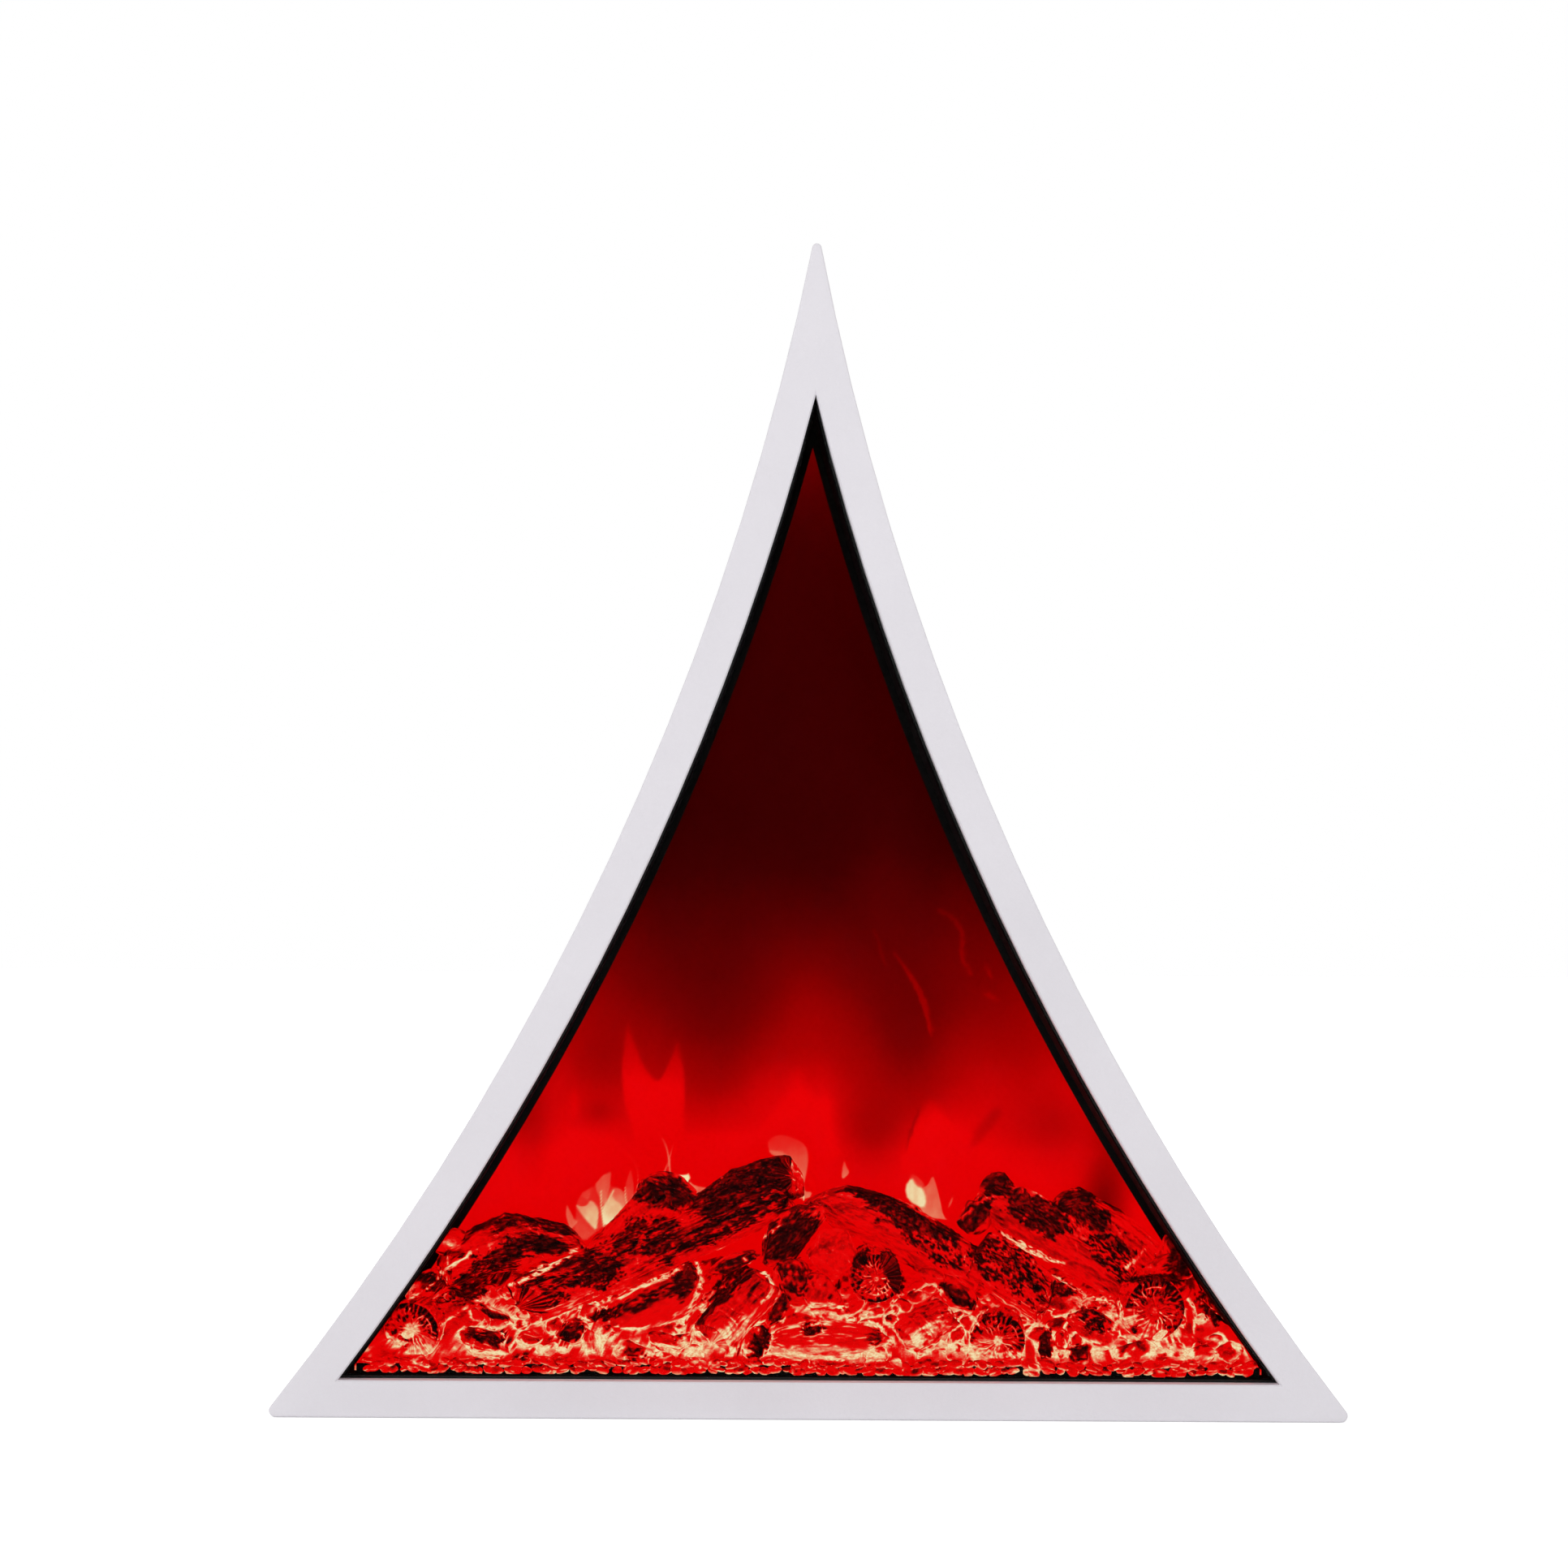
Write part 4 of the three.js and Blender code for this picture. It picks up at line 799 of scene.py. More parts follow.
def makeScreen():
    low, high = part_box("flame_screen")
    top = high.z - 0.001
    rows = unevenSteps(low.z, [(min(end, top), count) for end, count in screenRows])
    share = unevenSteps(-1.0, screenColumns)
    half = np.minimum(halfWidth(rows, screenInset), high.x)
    x = share[None, :] * half[:, None]
    z = np.repeat(rows[:, None], len(share), axis=1)
    front = np.stack([x.ravel(), np.full(x.size, low.y), z.ravel()], 1)
    rear = np.concatenate([[[-h, high.y, r], [h, high.y, r]] for h, r in zip(half, rows)])
    points = np.concatenate([front, rear])
    index = np.arange(front.shape[0]).reshape(x.shape)
    faces = quadsOf(index).tolist()
    frontCount = len(faces)
    first = len(front)
    for row in range(len(rows) - 1):
        leftLow, rightLow, leftHigh, rightHigh = (first + 2 * row + k for k in range(4))
        faces.append([rightLow, leftLow, leftHigh, rightHigh])
        faces.append([leftLow, int(index[row, 0]), int(index[row + 1, 0]), leftHigh])
        faces.append([int(index[row, -1]), rightLow, rightHigh, int(index[row + 1, -1])])
    faces.append(index[0, ::-1].tolist() + [first, first + 1])
    faces.append(index[-1].tolist() + [first + 2 * len(rows) - 1, first + 2 * len(rows) - 2])
    heat = np.concatenate([screenHeat(front), np.full(len(rear), 0.02)])
    piece = makePiece("flame_picture", points, faces, heat, points, "flameScreenLight",
                      ["flame_screen"])
    piece.data.polygons.foreach_set("use_smooth", [number < frontCount for number in range(len(faces))])


makeScreen()
print("flame screen made")


# where the fire is dark, from char and from painted shade, and where it glows, in the photograph's pixels

# dark patches: char on the resin, and painted shade such as the shadow under the small lump at the rear left
charAndShadePatches = [  # x, y, half length, half breadth, lean in degrees, how black
    (628, 1503, 21, 8, 32, 0.95), (668, 1506, 44, 8, -15, 0.95), (664, 1533, 38, 11, -6, 0.95),
    (598, 1570, 62, 20, 36, 0.62), (626, 1546, 24, 12, 30, 0.8), (670, 1590, 38, 26, 20, 0.5),
    (735, 1562, 30, 27, 35, 0.66), (776, 1525, 30, 15, 52, 0.66), (820, 1470, 34, 19, -6, 1.0),
    (815, 1528, 28, 28, 30, 0.66), (905, 1466, 56, 26, 26, 0.92), (950, 1447, 26, 22, 50, 0.95),
    (964, 1466, 14, 30, 0, 0.62), (893, 1510, 76, 14, 24, 0.62), (1078, 1473, 40, 13, -26, 0.95),
    (974, 1522, 42, 22, 42, 1.0), (980, 1577, 25, 20, -40, 0.52), (960, 1612, 22, 7, 62, 0.85),
    (1108, 1493, 66, 13, -30, 1.0), (1058, 1447, 20, 4, 8, 0.95), (1150, 1535, 52, 17, -38, 0.5),
    (1168, 1516, 16, 10, -40, 0.9), (1100, 1568, 28, 9, -72, 0.8), (1061, 1551, 14, 8, 50, 0.9),
    (903, 1578, 36, 12, 36, 0.66), (936, 1655, 22, 11, 62, 0.72), (842, 1577, 22, 15, 68, 0.98),
    (800, 1600, 60, 10, 22, 0.55), (746, 1620, 22, 7, 15, 0.65), (905, 1558, 27, 8, 22, 0.9),
    (1232, 1459, 21, 17, 0, 1.0), (1200, 1499, 24, 13, 48, 1.0), (1256, 1484, 14, 19, 0, 0.92),
    (1290, 1499, 34, 22, -34, 0.9), (1326, 1481, 27, 15, 16, 0.97), (1347, 1500, 24, 15, -20, 0.88),
    (1368, 1536, 44, 24, -55, 0.53), (1238, 1556, 52, 30, -35, 0.52), (1207, 1531, 14, 9, 60, 0.9),
    (1268, 1594, 32, 14, -30, 0.4), (1454, 1546, 15, 32, 0, 0.85), (1310, 1589, 18, 11, -12, 0.7),
    (1346, 1626, 25, 13, -32, 0.58), (1288, 1656, 9, 17, 0, 0.7), (1330, 1668, 13, 12, 0, 0.7),
    (1181, 1598, 24, 9, -34, 0.9), (608, 1616, 17, 7, -25, 0.9), (604, 1648, 23, 9, -6, 0.62),
    (706, 1640, 17, 12, 30, 0.66), (1001, 1637, 12, 8, 0, 0.85), (1078, 1648, 10, 10, 0, 0.6),
    (530, 1579, 20, 12, -15, 0.75), (560, 1545, 22, 4, -8, 0.7), (1420, 1575, 38, 5, 4, 0.8),
    (1495, 1610, 26, 14, -50, 0.6), (640, 1672, 16, 5, 0, 0.4), (1030, 1590, 12, 6, 60, 0.4),
    (780, 1668, 18, 9, 5, 0.5),
]
glowPatches = [  # the same where the resin is lit through; the last number is the heat
    (893, 1648, 44, 13, 38, 0.9), (1022, 1668, 64, 9, 0, 0.93), (1142, 1643, 42, 12, 36, 0.9),
    (508, 1638, 12, 11, 0, 0.93), (530, 1660, 26, 12, -40, 0.84), (734, 1652, 12, 16, -10, 0.87),
    (1362, 1668, 20, 9, 20, 0.93), (1330, 1603, 22, 9, 0, 0.84), (1215, 1662, 22, 16, 0, 0.84),
    (585, 1665, 40, 7, -12, 0.92), (610, 1610, 22, 6, -28, 0.92), (762, 1662, 14, 9, 40, 0.92),
    (1398, 1648, 30, 5, 10, 0.88), (1440, 1662, 26, 4, 4, 0.84), (1018, 1620, 34, 6, -6, 0.92),
    (500, 1592, 22, 7, 34, 0.84), (1420, 1640, 24, 12, -30, 0.8), (1390, 1625, 10, 16, -20, 0.9),
    (864, 1674, 20, 5, -32, 0.84), (1075, 1672, 22, 8, 10, 0.88), (1265, 1690, 26, 5, 0, 0.9),
    (555, 1532, 16, 7, -10, 0.78), (720, 1600, 16, 8, 30, 0.78), (1500, 1650, 22, 4, 0, 0.86),
]
brightSeams = [  # heat, then (x, y, half width) points
    (0.93, (540, 1573, 2.2), (560, 1558, 3), (580, 1542, 1.5)),
    (0.8, (588, 1538, 0.8), (612, 1522, 1.5), (650, 1515, 1.1), (692, 1523, 0.8)),
    (0.99, (627, 1588, 2.2), (655, 1570, 3.8), (680, 1559, 3), (698, 1549, 3), (713, 1539, 1.5)),
    (0.98, (764, 1598, 2.2), (790, 1584, 3), (815, 1575, 3), (842, 1560, 1.5)),
    (0.98, (925, 1532, 2.2), (945, 1520, 3), (962, 1508, 1.5)),
    (0.86, (870, 1547, 1.1), (900, 1536, 1.9), (920, 1532, 1.1)),
    (0.84, (1002, 1474, 1.5), (1025, 1460, 1.9), (1050, 1453, 1.5), (1072, 1452, 1.1)),
    (0.78, (1072, 1454, 1.5), (1102, 1473, 2.2), (1137, 1494, 2.2), (1170, 1510, 1.5)),
    (0.99, (1234, 1518, 1.5), (1258, 1534, 3), (1285, 1548, 3), (1312, 1557, 2.2)),
    (0.84, (1180, 1503, 1.5), (1192, 1496, 1.9), (1200, 1486, 2.2), (1214, 1476, 2.2), (1236, 1474, 2.2)),
    (0.84, (1254, 1457, 0.8), (1272, 1466, 1.1), (1296, 1484, 1.5)),
    (0.92, (1298, 1572, 2.2), (1320, 1583, 2.2), (1342, 1600, 1.5)),
    (0.86, (1388, 1561, 2.2), (1404, 1544, 3), (1418, 1533, 1.5)),
    (0.98, (846, 1628, 1.9), (841, 1645, 2.2), (850, 1668, 3), (862, 1682, 2.2)),
    (0.88, (848, 1626, 1.5), (872, 1600, 1.5), (892, 1583, 1.1)),
    (0.96, (952, 1641, 1.5), (985, 1631, 2.2), (1040, 1628, 1.9), (1086, 1632, 1.5)),
    (0.97, (1296, 1655, 0.8), (1302, 1666, 0.9), (1298, 1676, 0.8)),
    (0.97, (1312, 1650, 0.8), (1318, 1668, 0.9), (1326, 1680, 0.8)),
    (0.95, (1280, 1655, 1.1), (1275, 1672, 1.5), (1282, 1686, 1.5)),
    (0.94, (1180, 1655, 0.8), (1190, 1670, 1.1), (1186, 1682, 0.8)),
    (0.86, (1025, 1540, 0.4), (1012, 1530, 0.4)), (0.86, (1025, 1540, 0.4), (1034, 1524, 0.4)),
    (0.9, (1025, 1540, 0.4), (1046, 1549, 0.4), (1048, 1558, 0.4)),
    (0.82, (1025, 1540, 0.4), (1022, 1520, 0.4)), (0.82, (1025, 1540, 0.4), (1008, 1548, 0.4)),
    (0.95, (636, 1645, 1.1), (646, 1658, 1.1), (664, 1655, 0.9)),
    (0.95, (700, 1620, 1.5), (726, 1626, 1.5), (732, 1640, 1.1)),
    (0.98, (858, 1558, 2), (867, 1580, 4), (853, 1606, 3), (842, 1636, 3)),
    (0.96, (916, 1552, 1.5), (942, 1564, 3), (955, 1588, 3), (938, 1606, 2)),
    (0.98, (1126, 1590, 1.5), (1150, 1578, 3.5), (1162, 1592, 2.5)),
    (0.95, (504, 1600, 1.5), (522, 1590, 2.5), (536, 1577, 1.5)),
    (0.98, (716, 1636, 2), (724, 1616, 2.5), (742, 1604, 3), (764, 1598, 1.5)),
    (0.95, (980, 1614, 1.5), (1010, 1606, 2.5), (1044, 1612, 1.5)),
    (0.97, (1194, 1648, 2), (1199, 1626, 3), (1216, 1612, 2)),
    (0.97, (1318, 1624, 1.5), (1334, 1602, 3), (1356, 1598, 2.5), (1374, 1612, 2)),
    (0.95, (1460, 1598, 1.5), (1474, 1614, 2.5), (1470, 1642, 2)),
    (0.96, (1372, 1640, 2), (1384, 1622, 3), (1378, 1604, 2)),
    (0.92, (540, 1640, 1.5), (556, 1622, 2), (576, 1612, 1.5)),
    (0.94, (1102, 1622, 2), (1096, 1606, 2), (1112, 1594, 2)),
    (0.94, (1158, 1612, 1.1), (1190, 1618, 1.5), (1206, 1630, 1.5)),
]


markLook = {  # sizes of the noise in millimetres along and across the fibre, and how strongly it shows
    "coarse": 6.5, "fine": (3.6, 1.2, 1.2), "grit": (2.2, 1.0, 1.0), "cracks": (15, 2.1, 2.1),
    "crumbs": 2.6, "wander": (10, 10, 10), "crackWidth": 0.17, "ragged": 0.34,
    "blackest": 0.05, "speckle": 0.36, "crackHeat": 0.42,
}


def fireMarks(points, size, heat, seed, streaks):
    # darkens the surface with char and painted shade and lights it where the photograph does, with ragged
    # edges and texture inside
    look = markLook
    px, py = pixelsOf(points)
    coarse, fine = layered(size, look["coarse"], seed + 301), layered(size, look["fine"], seed + 303, 2)
    ragged = look["ragged"] * coarse + look["ragged"] * fine
    black = np.zeros(len(points))
    for patch in charAndShadePatches:
        black = np.maximum(black, patch[5] * ease(1.35, 0.75, ovalReach(px, py, patch) + ragged))
    grit = 0.42 * streaks + 0.62 * layered(size, look["grit"], seed + 307, 2)
    cover = ease(-0.08, 0.18, 1.6 * black - 0.72 + 1.15 * grit)
    lines = veins(size, look["cracks"], look["crackWidth"], seed + 309) * ease(-0.3, 0.3, coarse)
    ember = look["blackest"] + look["speckle"] * ease(-0.25, 0.45, -0.95 * grit - 0.30 * coarse)
    ember += look["crackHeat"] * lines * (1.25 - black)
    heat = heat + (ember - heat) * cover
    for patch in glowPatches:
        cover = ease(1.25, 0.60, ovalReach(px, py, patch) + ragged)
        heat = lightened(heat, patch[5] + 0.16 * fine - 0.25 * ease(0.1, 0.5, streaks), cover)
    wander = 6.0 * layered(size, look["wander"], seed + 317, 2) + 3.2 * fine
    crumbs = ease(-0.25, 0.10, layered(size, look["crumbs"], seed + 313, 2) + 0.16)
    for level, *line in brightSeams:
        heat = lightened(heat, level, strokeCover(px, py + wander, line, 1.2) * crumbs)
    return np.where(heat > pureRed, pureRed + (1 - pureRed) * ease(pureRed + 0.02, 0.98, heat), heat)


def turnedOut(points, faces):
    # the direction each point of a mesh faces
    if faces.shape[1] == 4:
        flat = np.cross(points[faces[:, 2]] - points[faces[:, 0]], points[faces[:, 3]] - points[faces[:, 1]])
    else:
        flat = np.cross(points[faces[:, 1]] - points[faces[:, 0]], points[faces[:, 2]] - points[faces[:, 0]])
    total = np.zeros_like(points)
    for corner in range(faces.shape[1]):
        np.add.at(total, faces[:, corner], flat)
    return total / np.maximum(np.linalg.norm(total, axis=1), 1e-12)[:, None]


emberLight = np.array((-0.30, -0.30, -0.90))  # towards the light in the bed
# how strongly the painted light and shade of the relief shows
paintedReliefShade = 0.34


def reliefShaded(points, faces, facing, heat):
    # painted light and shade: the relief is lighter where it turns down to the light in the bed and darker
    # where it turns away, against the smooth shape
    tilt = (turnedOut(points, faces) - facing) @ emberLight
    return np.maximum(heat + paintedReliefShade * np.clip(tilt, -0.8, 0.8) * (0.18 + heat), 0.05 + 0.10 * heat)


# ember bed, logs and coals

bedLow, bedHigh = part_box("ember_bed")
bed = {"foot": 36, "rise": 58, "curve": 0.8, "lip": 30.5}  # millimetres, as the frame's bed


def bedDeep(share):
    return bedLow.y + share * (bedHigh.y - bedLow.y)


def bedRise(x, share):
    # height of the bed over x in metres and the share of its depth; its front is broken down to the lip
    across = x / mm
    deep = (bedLow.y - frontFace) / mm + share * (bedHigh.y - bedLow.y) / mm
    waves = 4 * np.sin(across / 17) * np.sin(deep / 11 + 1) + 3 * np.sin(across / 7.3 + 2)
    full = bed["foot"] + bed["rise"] * np.maximum(share, 0) ** bed["curve"] + waves
    kept = ease(0.0, 0.22, share)
    return (full * kept + bed["lip"] * (1 - kept)) * mm


def inBed(x, share, z):
    # a point by x and z in millimetres and its share of the bed's depth
    return Vector((x * mm, bedDeep(share), z * mm))


# ends and radii as the frame's logs; girth along the log, rise of its middle, flat sides (split), how far
# each end is cut askew (towards the viewer, upwards), how far each end grows, texture of the bark
logs = {
    "log_rear_left": dict(
        ends=((-234, 0.63, 89), (-148, 0.7, 110)), radii=(15, 14), split=0.7,
        girth=(0.85, 1.1, 1.22, 1.05, 0.72), rise=6, askew=(0.5, 0.2, 0.1, 0.5), bark="mottled"),
    "log_long_left": dict(
        ends=((-185, 0.4, 66), (-14, 0.59, 137)), radii=(17, 15), split=0.8,
        girth=(1.05, 1.12, 1.05, 1.0, 0.95), askew=(1.0, -0.2, 0.2, 0.3)),
    "log_top_left": dict(
        ends=((-74, 0.78, 131), (-14, 0.74, 148)), radii=(13, 13.5), split=0.5,
        girth=(0.5, 0.98, 1.2, 1.2, 1.1), rise=1, askew=(0.2, 0.6, 0.5, 0.15), grow=(1, 4)),
    "log_stub_left": dict(
        ends=((-136, 0.8, 95), (-92, 0.76, 136)), radii=(12, 13), split=0.5,
        girth=(0.9, 0.9, 1.0, 1.18, 1.2), askew=(0.2, 0.3, 0.3, 0.1), grow=(2, 4), bark="mottled"),
    "log_long_right": dict(
        ends=((14, 0.67, 137), (111, 0.55, 88)), radii=(15, 16), split=0.8,
        girth=(0.85, 1.2, 1.2, 1.12, 1.0), rise=3, askew=(0.2, 0.95, 0.3, 0.2), grow=(4, 1),
        bark="mottled"),
    "log_rear_right": dict(
        ends=((112, 0.7, 140), (208, 0.55, 80)), radii=(13, 15), split=0.7,
        girth=(1.0, 1.28, 1.22, 1.0, 0.9), rise=1, askew=(0.2, 0.2, 0.3, 0.2)),
    "log_end_right": dict(
        ends=((170, 0.78, 132), (224, 0.7, 94)), radii=(12, 14), split=0.6,
        girth=(1.0, 1.1, 1.15, 1.05, 0.95), rise=1, askew=(0.2, -0.3, 0.2, 0.2), grow=(2, 0),
        bark="mottled"),
    "log_block_right": dict(
        ends=((106, 0.37, 101), (153, 0.29, 71)), radii=(16, 16), split=0.8,
        girth=(1.0, 1.1, 1.12, 1.05, 1.0), rise=1, askew=(0.1, -0.1, 0.3, 0.2), bark="mottled"),
    "log_round_right": dict(
        ends=((223, 0.08, 66), (216, 0.59, 69)), radii=(20, 18), split=0.15, girth=(1.06,),
        shift=(-2.5, 1.5),
        sawn=dict(rim=0.3, rimSide=85, heart=0.12, heartHeat=0.8, spokes=30, spokeSide=-60)),
    "log_round_centre": dict(
        ends=((42, 0.16, 83), (40, 0.59, 89)), radii=(17.5, 16), split=0.2, girth=(1.0,), shift=(1, 3.5),
        sawn=dict(rim=0.36, rimSide=125, heart=0.14, heartHeat=0.85, spokes=24, spokeSide=-135)),
    "log_round_low": dict(
        ends=((120, 0.05, 46), (122, 0.44, 52)), radii=(18, 16), split=0.2, girth=(1.05,),
        shift=(0.5, 1.5),
        sawn=dict(rim=0.18, rimSide=150, heart=0.26, heartHeat=0.92, spokes=22, spokeSide=-100)),
    "log_round_left": dict(
        ends=((-254, 0.06, 52), (-248, 0.44, 56)), radii=(17, 16), split=0.2, girth=(1.15,),
        shift=(1.5, 0.5),
        sawn=dict(rim=0.24, rimSide=165, heart=0.3, heartHeat=0.94, spokes=24, spokeSide=-110)),
    "log_chunk_centre": dict(
        ends=((-62, 0.22, 44), (-27, 0.4, 86)), radii=(17, 14), split=0.5,
        girth=(1.0, 1.02, 1.0, 1.0, 0.9), askew=(0.4, 0.1, 0.2, 0.2)),
    "log_chunk_right": dict(
        ends=((62, 0.2, 45), (90, 0.32, 64)), radii=(15, 13.5), split=0.3,
        girth=(0.95, 1.08, 1.05, 0.95, 0.9), askew=(0.3, 0.1, 0.2, 0.2), grow=(2, 2), bark="mottled"),
}
logGrain = {
    "step": 0.8,  # millimetres between points
    "capRings": 18, "rim": 3.0, "sawnRim": 1.6,
    # sizes of the noise in millimetres, along and across the log
    "lumpSize": (24, 15, 15), "knotSize": 5, "crackSize": (22, 4.2, 4.2), "splitSize": (5, 11, 11),
    "patchSize": (26, 13, 13), "fleckSize": (7, 1.7, 1.7), "scratchSize": (34, 2.6, 2.6),
    "streaked": (13, 1.5, 1.5), "mottled": (4.6, 2.3, 2.3),
    # how far each stands out in millimetres
    "lumps": 2.0, "knots": 0.8, "ridge": 0.5, "plate": 0.6,
    # how much each darkens or lights
    "streaks": 0.36, "flecks": 0.22, "scratches": 0.26, "splits": 0.16, "capDark": 0.36, "capCracks": 0.22,
    "charHeat": 0.11, "charRange": 0.20, "charCracks": 0.36,
    "litHeights": (92, 48),  # the bed lights the logs from the lower one up to the higher one
}


def treeOf(objects):
    # for the nearest distance to these objects' surfaces
    points, faces = [], []
    for item in objects:
        first = len(points)
        points += [v.co.copy() for v in item.data.vertices]
        faces += [[first + i for i in p.vertices] for p in item.data.polygons]
    return BVHTree.FromPolygons(points, faces)


def nearness(points, tree, reach=8):
    # distance to the tree's surface in millimetres, up to reach
    near = np.full(len(points), float(reach))
    for i, point in enumerate(points.tolist()):
        hit = tree.find_nearest(point, reach * mm)
        if hit[3] is not None:
            near[i] = hit[3] / mm
    return near


gapLook = {  # millimetres: heights between which the light grows, fades at the lip; width of the gaps
    "heights": (138, 50), "lip": (31, 38), "gap": (4.0, 0.8), "ragged": 2.0, "grainSize": 3.2,
    "breakSize": 9, "heat": (0.74, 0.24), "under": 0.16,
}


def glowBetween(points, heat, near, up):
    # cream light in the gaps, broken up, stronger low in the bed; undersides low in the bed get painted
    # light from the bed
    look, size = gapLook, points / mm
    low = ease(*look["heights"], size[:, 2])
    edge = ease(*look["gap"], near + look["ragged"] * layered(size, look["grainSize"], 41, 2))
    edge *= ease(-0.20, 0.20, layered(size, look["breakSize"], 43, 2) + 0.42 * low) * (0.15 + 0.85 * low)
    edge *= ease(*look["lip"], size[:, 2])
    heat = np.maximum(heat, edge * (look["heat"][0] + look["heat"][1] * edge))
    # painted light on the undersides
    under = ease(0.2, -0.75, up) * low * ease(-0.4, 0.5, layered(size, 7, 47))
    return heat + look["under"] * under * (heat > 0.3)


def facets(angle, seed):
    # a split log's flat sides, as a share of the radius
    draw = np.random.default_rng(seed)
    count = 6
    turn = draw.uniform(0, 2 * np.pi)
    reach = np.full(len(angle), 1.15)
    for k in range(count):
        facing = turn + 2 * np.pi * k / count + draw.uniform(-0.3, 0.3)
        flat = draw.uniform(0.80, 0.98)
        reach = np.minimum(reach, flat / np.maximum(np.cos(angle - facing), 0.2))
    return np.minimum(reach, 1.12)


sawnLook = {  # spokes start and end at shares of the radius; pits and the spokes' width in millimetres
    "rings": 34, "ringHeat": 0.10, "ringDepth": 0.22, "pits": 2.4, "pitHeat": 0.50,
    "dashes": 30, "rimHeat": 0.04, "dashHeat": 0.52, "ragged": 0.24,
    "spokeStart": (0.12, 0.55), "spokeEnd": (0.70, 1.0), "spokeHeat": (0.80, 0.98), "spokeWidth": 0.95,
    "spokeDepth": 0.7, "arcHeat": 0.84,
}


def sawnFace(share, angle, size, seed, look):
    # heat and depth of a sawn end: charred rim, rings, radial cracks and a lighter heart
    draw, saw = np.random.default_rng(seed), sawnLook
    flat = np.stack([share * np.cos(angle), share * np.sin(angle), share * 0 + seed], 1) * size[:, None]
    rim, spokeSide = math.radians(look["rimSide"]), math.radians(look["spokeSide"])
    heat = pureRed + 0.02 + 0.08 * layered(flat, 4, seed)
    heat -= saw["ringHeat"] * ease(0.3, 0.9, np.cos(share * saw["rings"] + 1.5 * layered(flat, 6, seed + 1)))
    heat -= saw["pitHeat"] * ease(0.02, 0.3, layered(flat, saw["pits"], seed + 2)) * ease(0.2, 0.5, share)
    toRim = np.cos(angle - rim) + 0.5 * layered(flat, 12, seed + 8)
    width = look["rim"] * (0.05 + 1.45 * ease(-0.6, 0.8, toRim))
    edge = ease(1 - width - 0.03, 1 - width + 0.05, share + saw["ragged"] * layered(flat, 2.4, seed + 3))
    dashes = ease(0.0, 0.5, np.sin(angle * saw["dashes"] + 2.5 * layered(flat, 7, seed + 4)))
    burnt = saw["rimHeat"] + saw["dashHeat"] * dashes * ease(-0.3, 0.2, layered(flat, 4, seed + 9))
    heat = heat * (1 - edge) + burnt * edge
    depth = -saw["ringDepth"] * np.cos(share * saw["rings"])
    for k in range(look["spokes"]):
        facing = 2 * np.pi * (k + draw.uniform(-0.35, 0.35)) / look["spokes"]
        inner, outer = draw.uniform(*saw["spokeStart"]), draw.uniform(*saw["spokeEnd"])
        bright = draw.uniform(*saw["spokeHeat"]) - 0.14 * (1 - math.cos(facing - spokeSide)) / 2
        off = np.abs((angle - facing - 0.12 * np.sin(share * 9 + k) + np.pi) % (2 * np.pi) - np.pi)
        line = ease(1.0, 0.35, off * share * size / saw["spokeWidth"]) * ease(inner, inner + 0.06, share)
        line *= ease(outer, outer - 0.05, share) * ease(-0.5, 0.0, layered(flat, 3.0, seed + 50 + k, 2))
        heat = lightened(heat, bright, line)
        depth -= saw["spokeDepth"] * line
    for radius, facing, half in ((0.46, spokeSide, 1.2), (0.72, spokeSide + 0.5, 0.8), (0.78, rim, 0.5)):
        arc = ease(0.035, 0.012, np.abs(share - radius - 0.03 * layered(flat, 8, seed + 7)))
        arc *= ease(math.cos(half), math.cos(half * 0.6), np.cos(angle - facing))
        heat = lightened(heat, saw["arcHeat"], arc)
    heart = ease(look["heart"], look["heart"] * 0.5, share + 0.07 * layered(flat, 3, seed + 5))
    heartHeat = look["heartHeat"] + 0.10 * layered(flat, 1.8, seed + 6)
    return heat + (heartHeat - heat) * heart, depth


def alongGirth(share, radii, girth):
    # the radius along a log
    plain = radii[0] + (radii[1] - radii[0]) * share
    return plain * (np.interp(share, np.linspace(0, 1, len(girth)), girth) if len(girth) > 1 else girth[0])


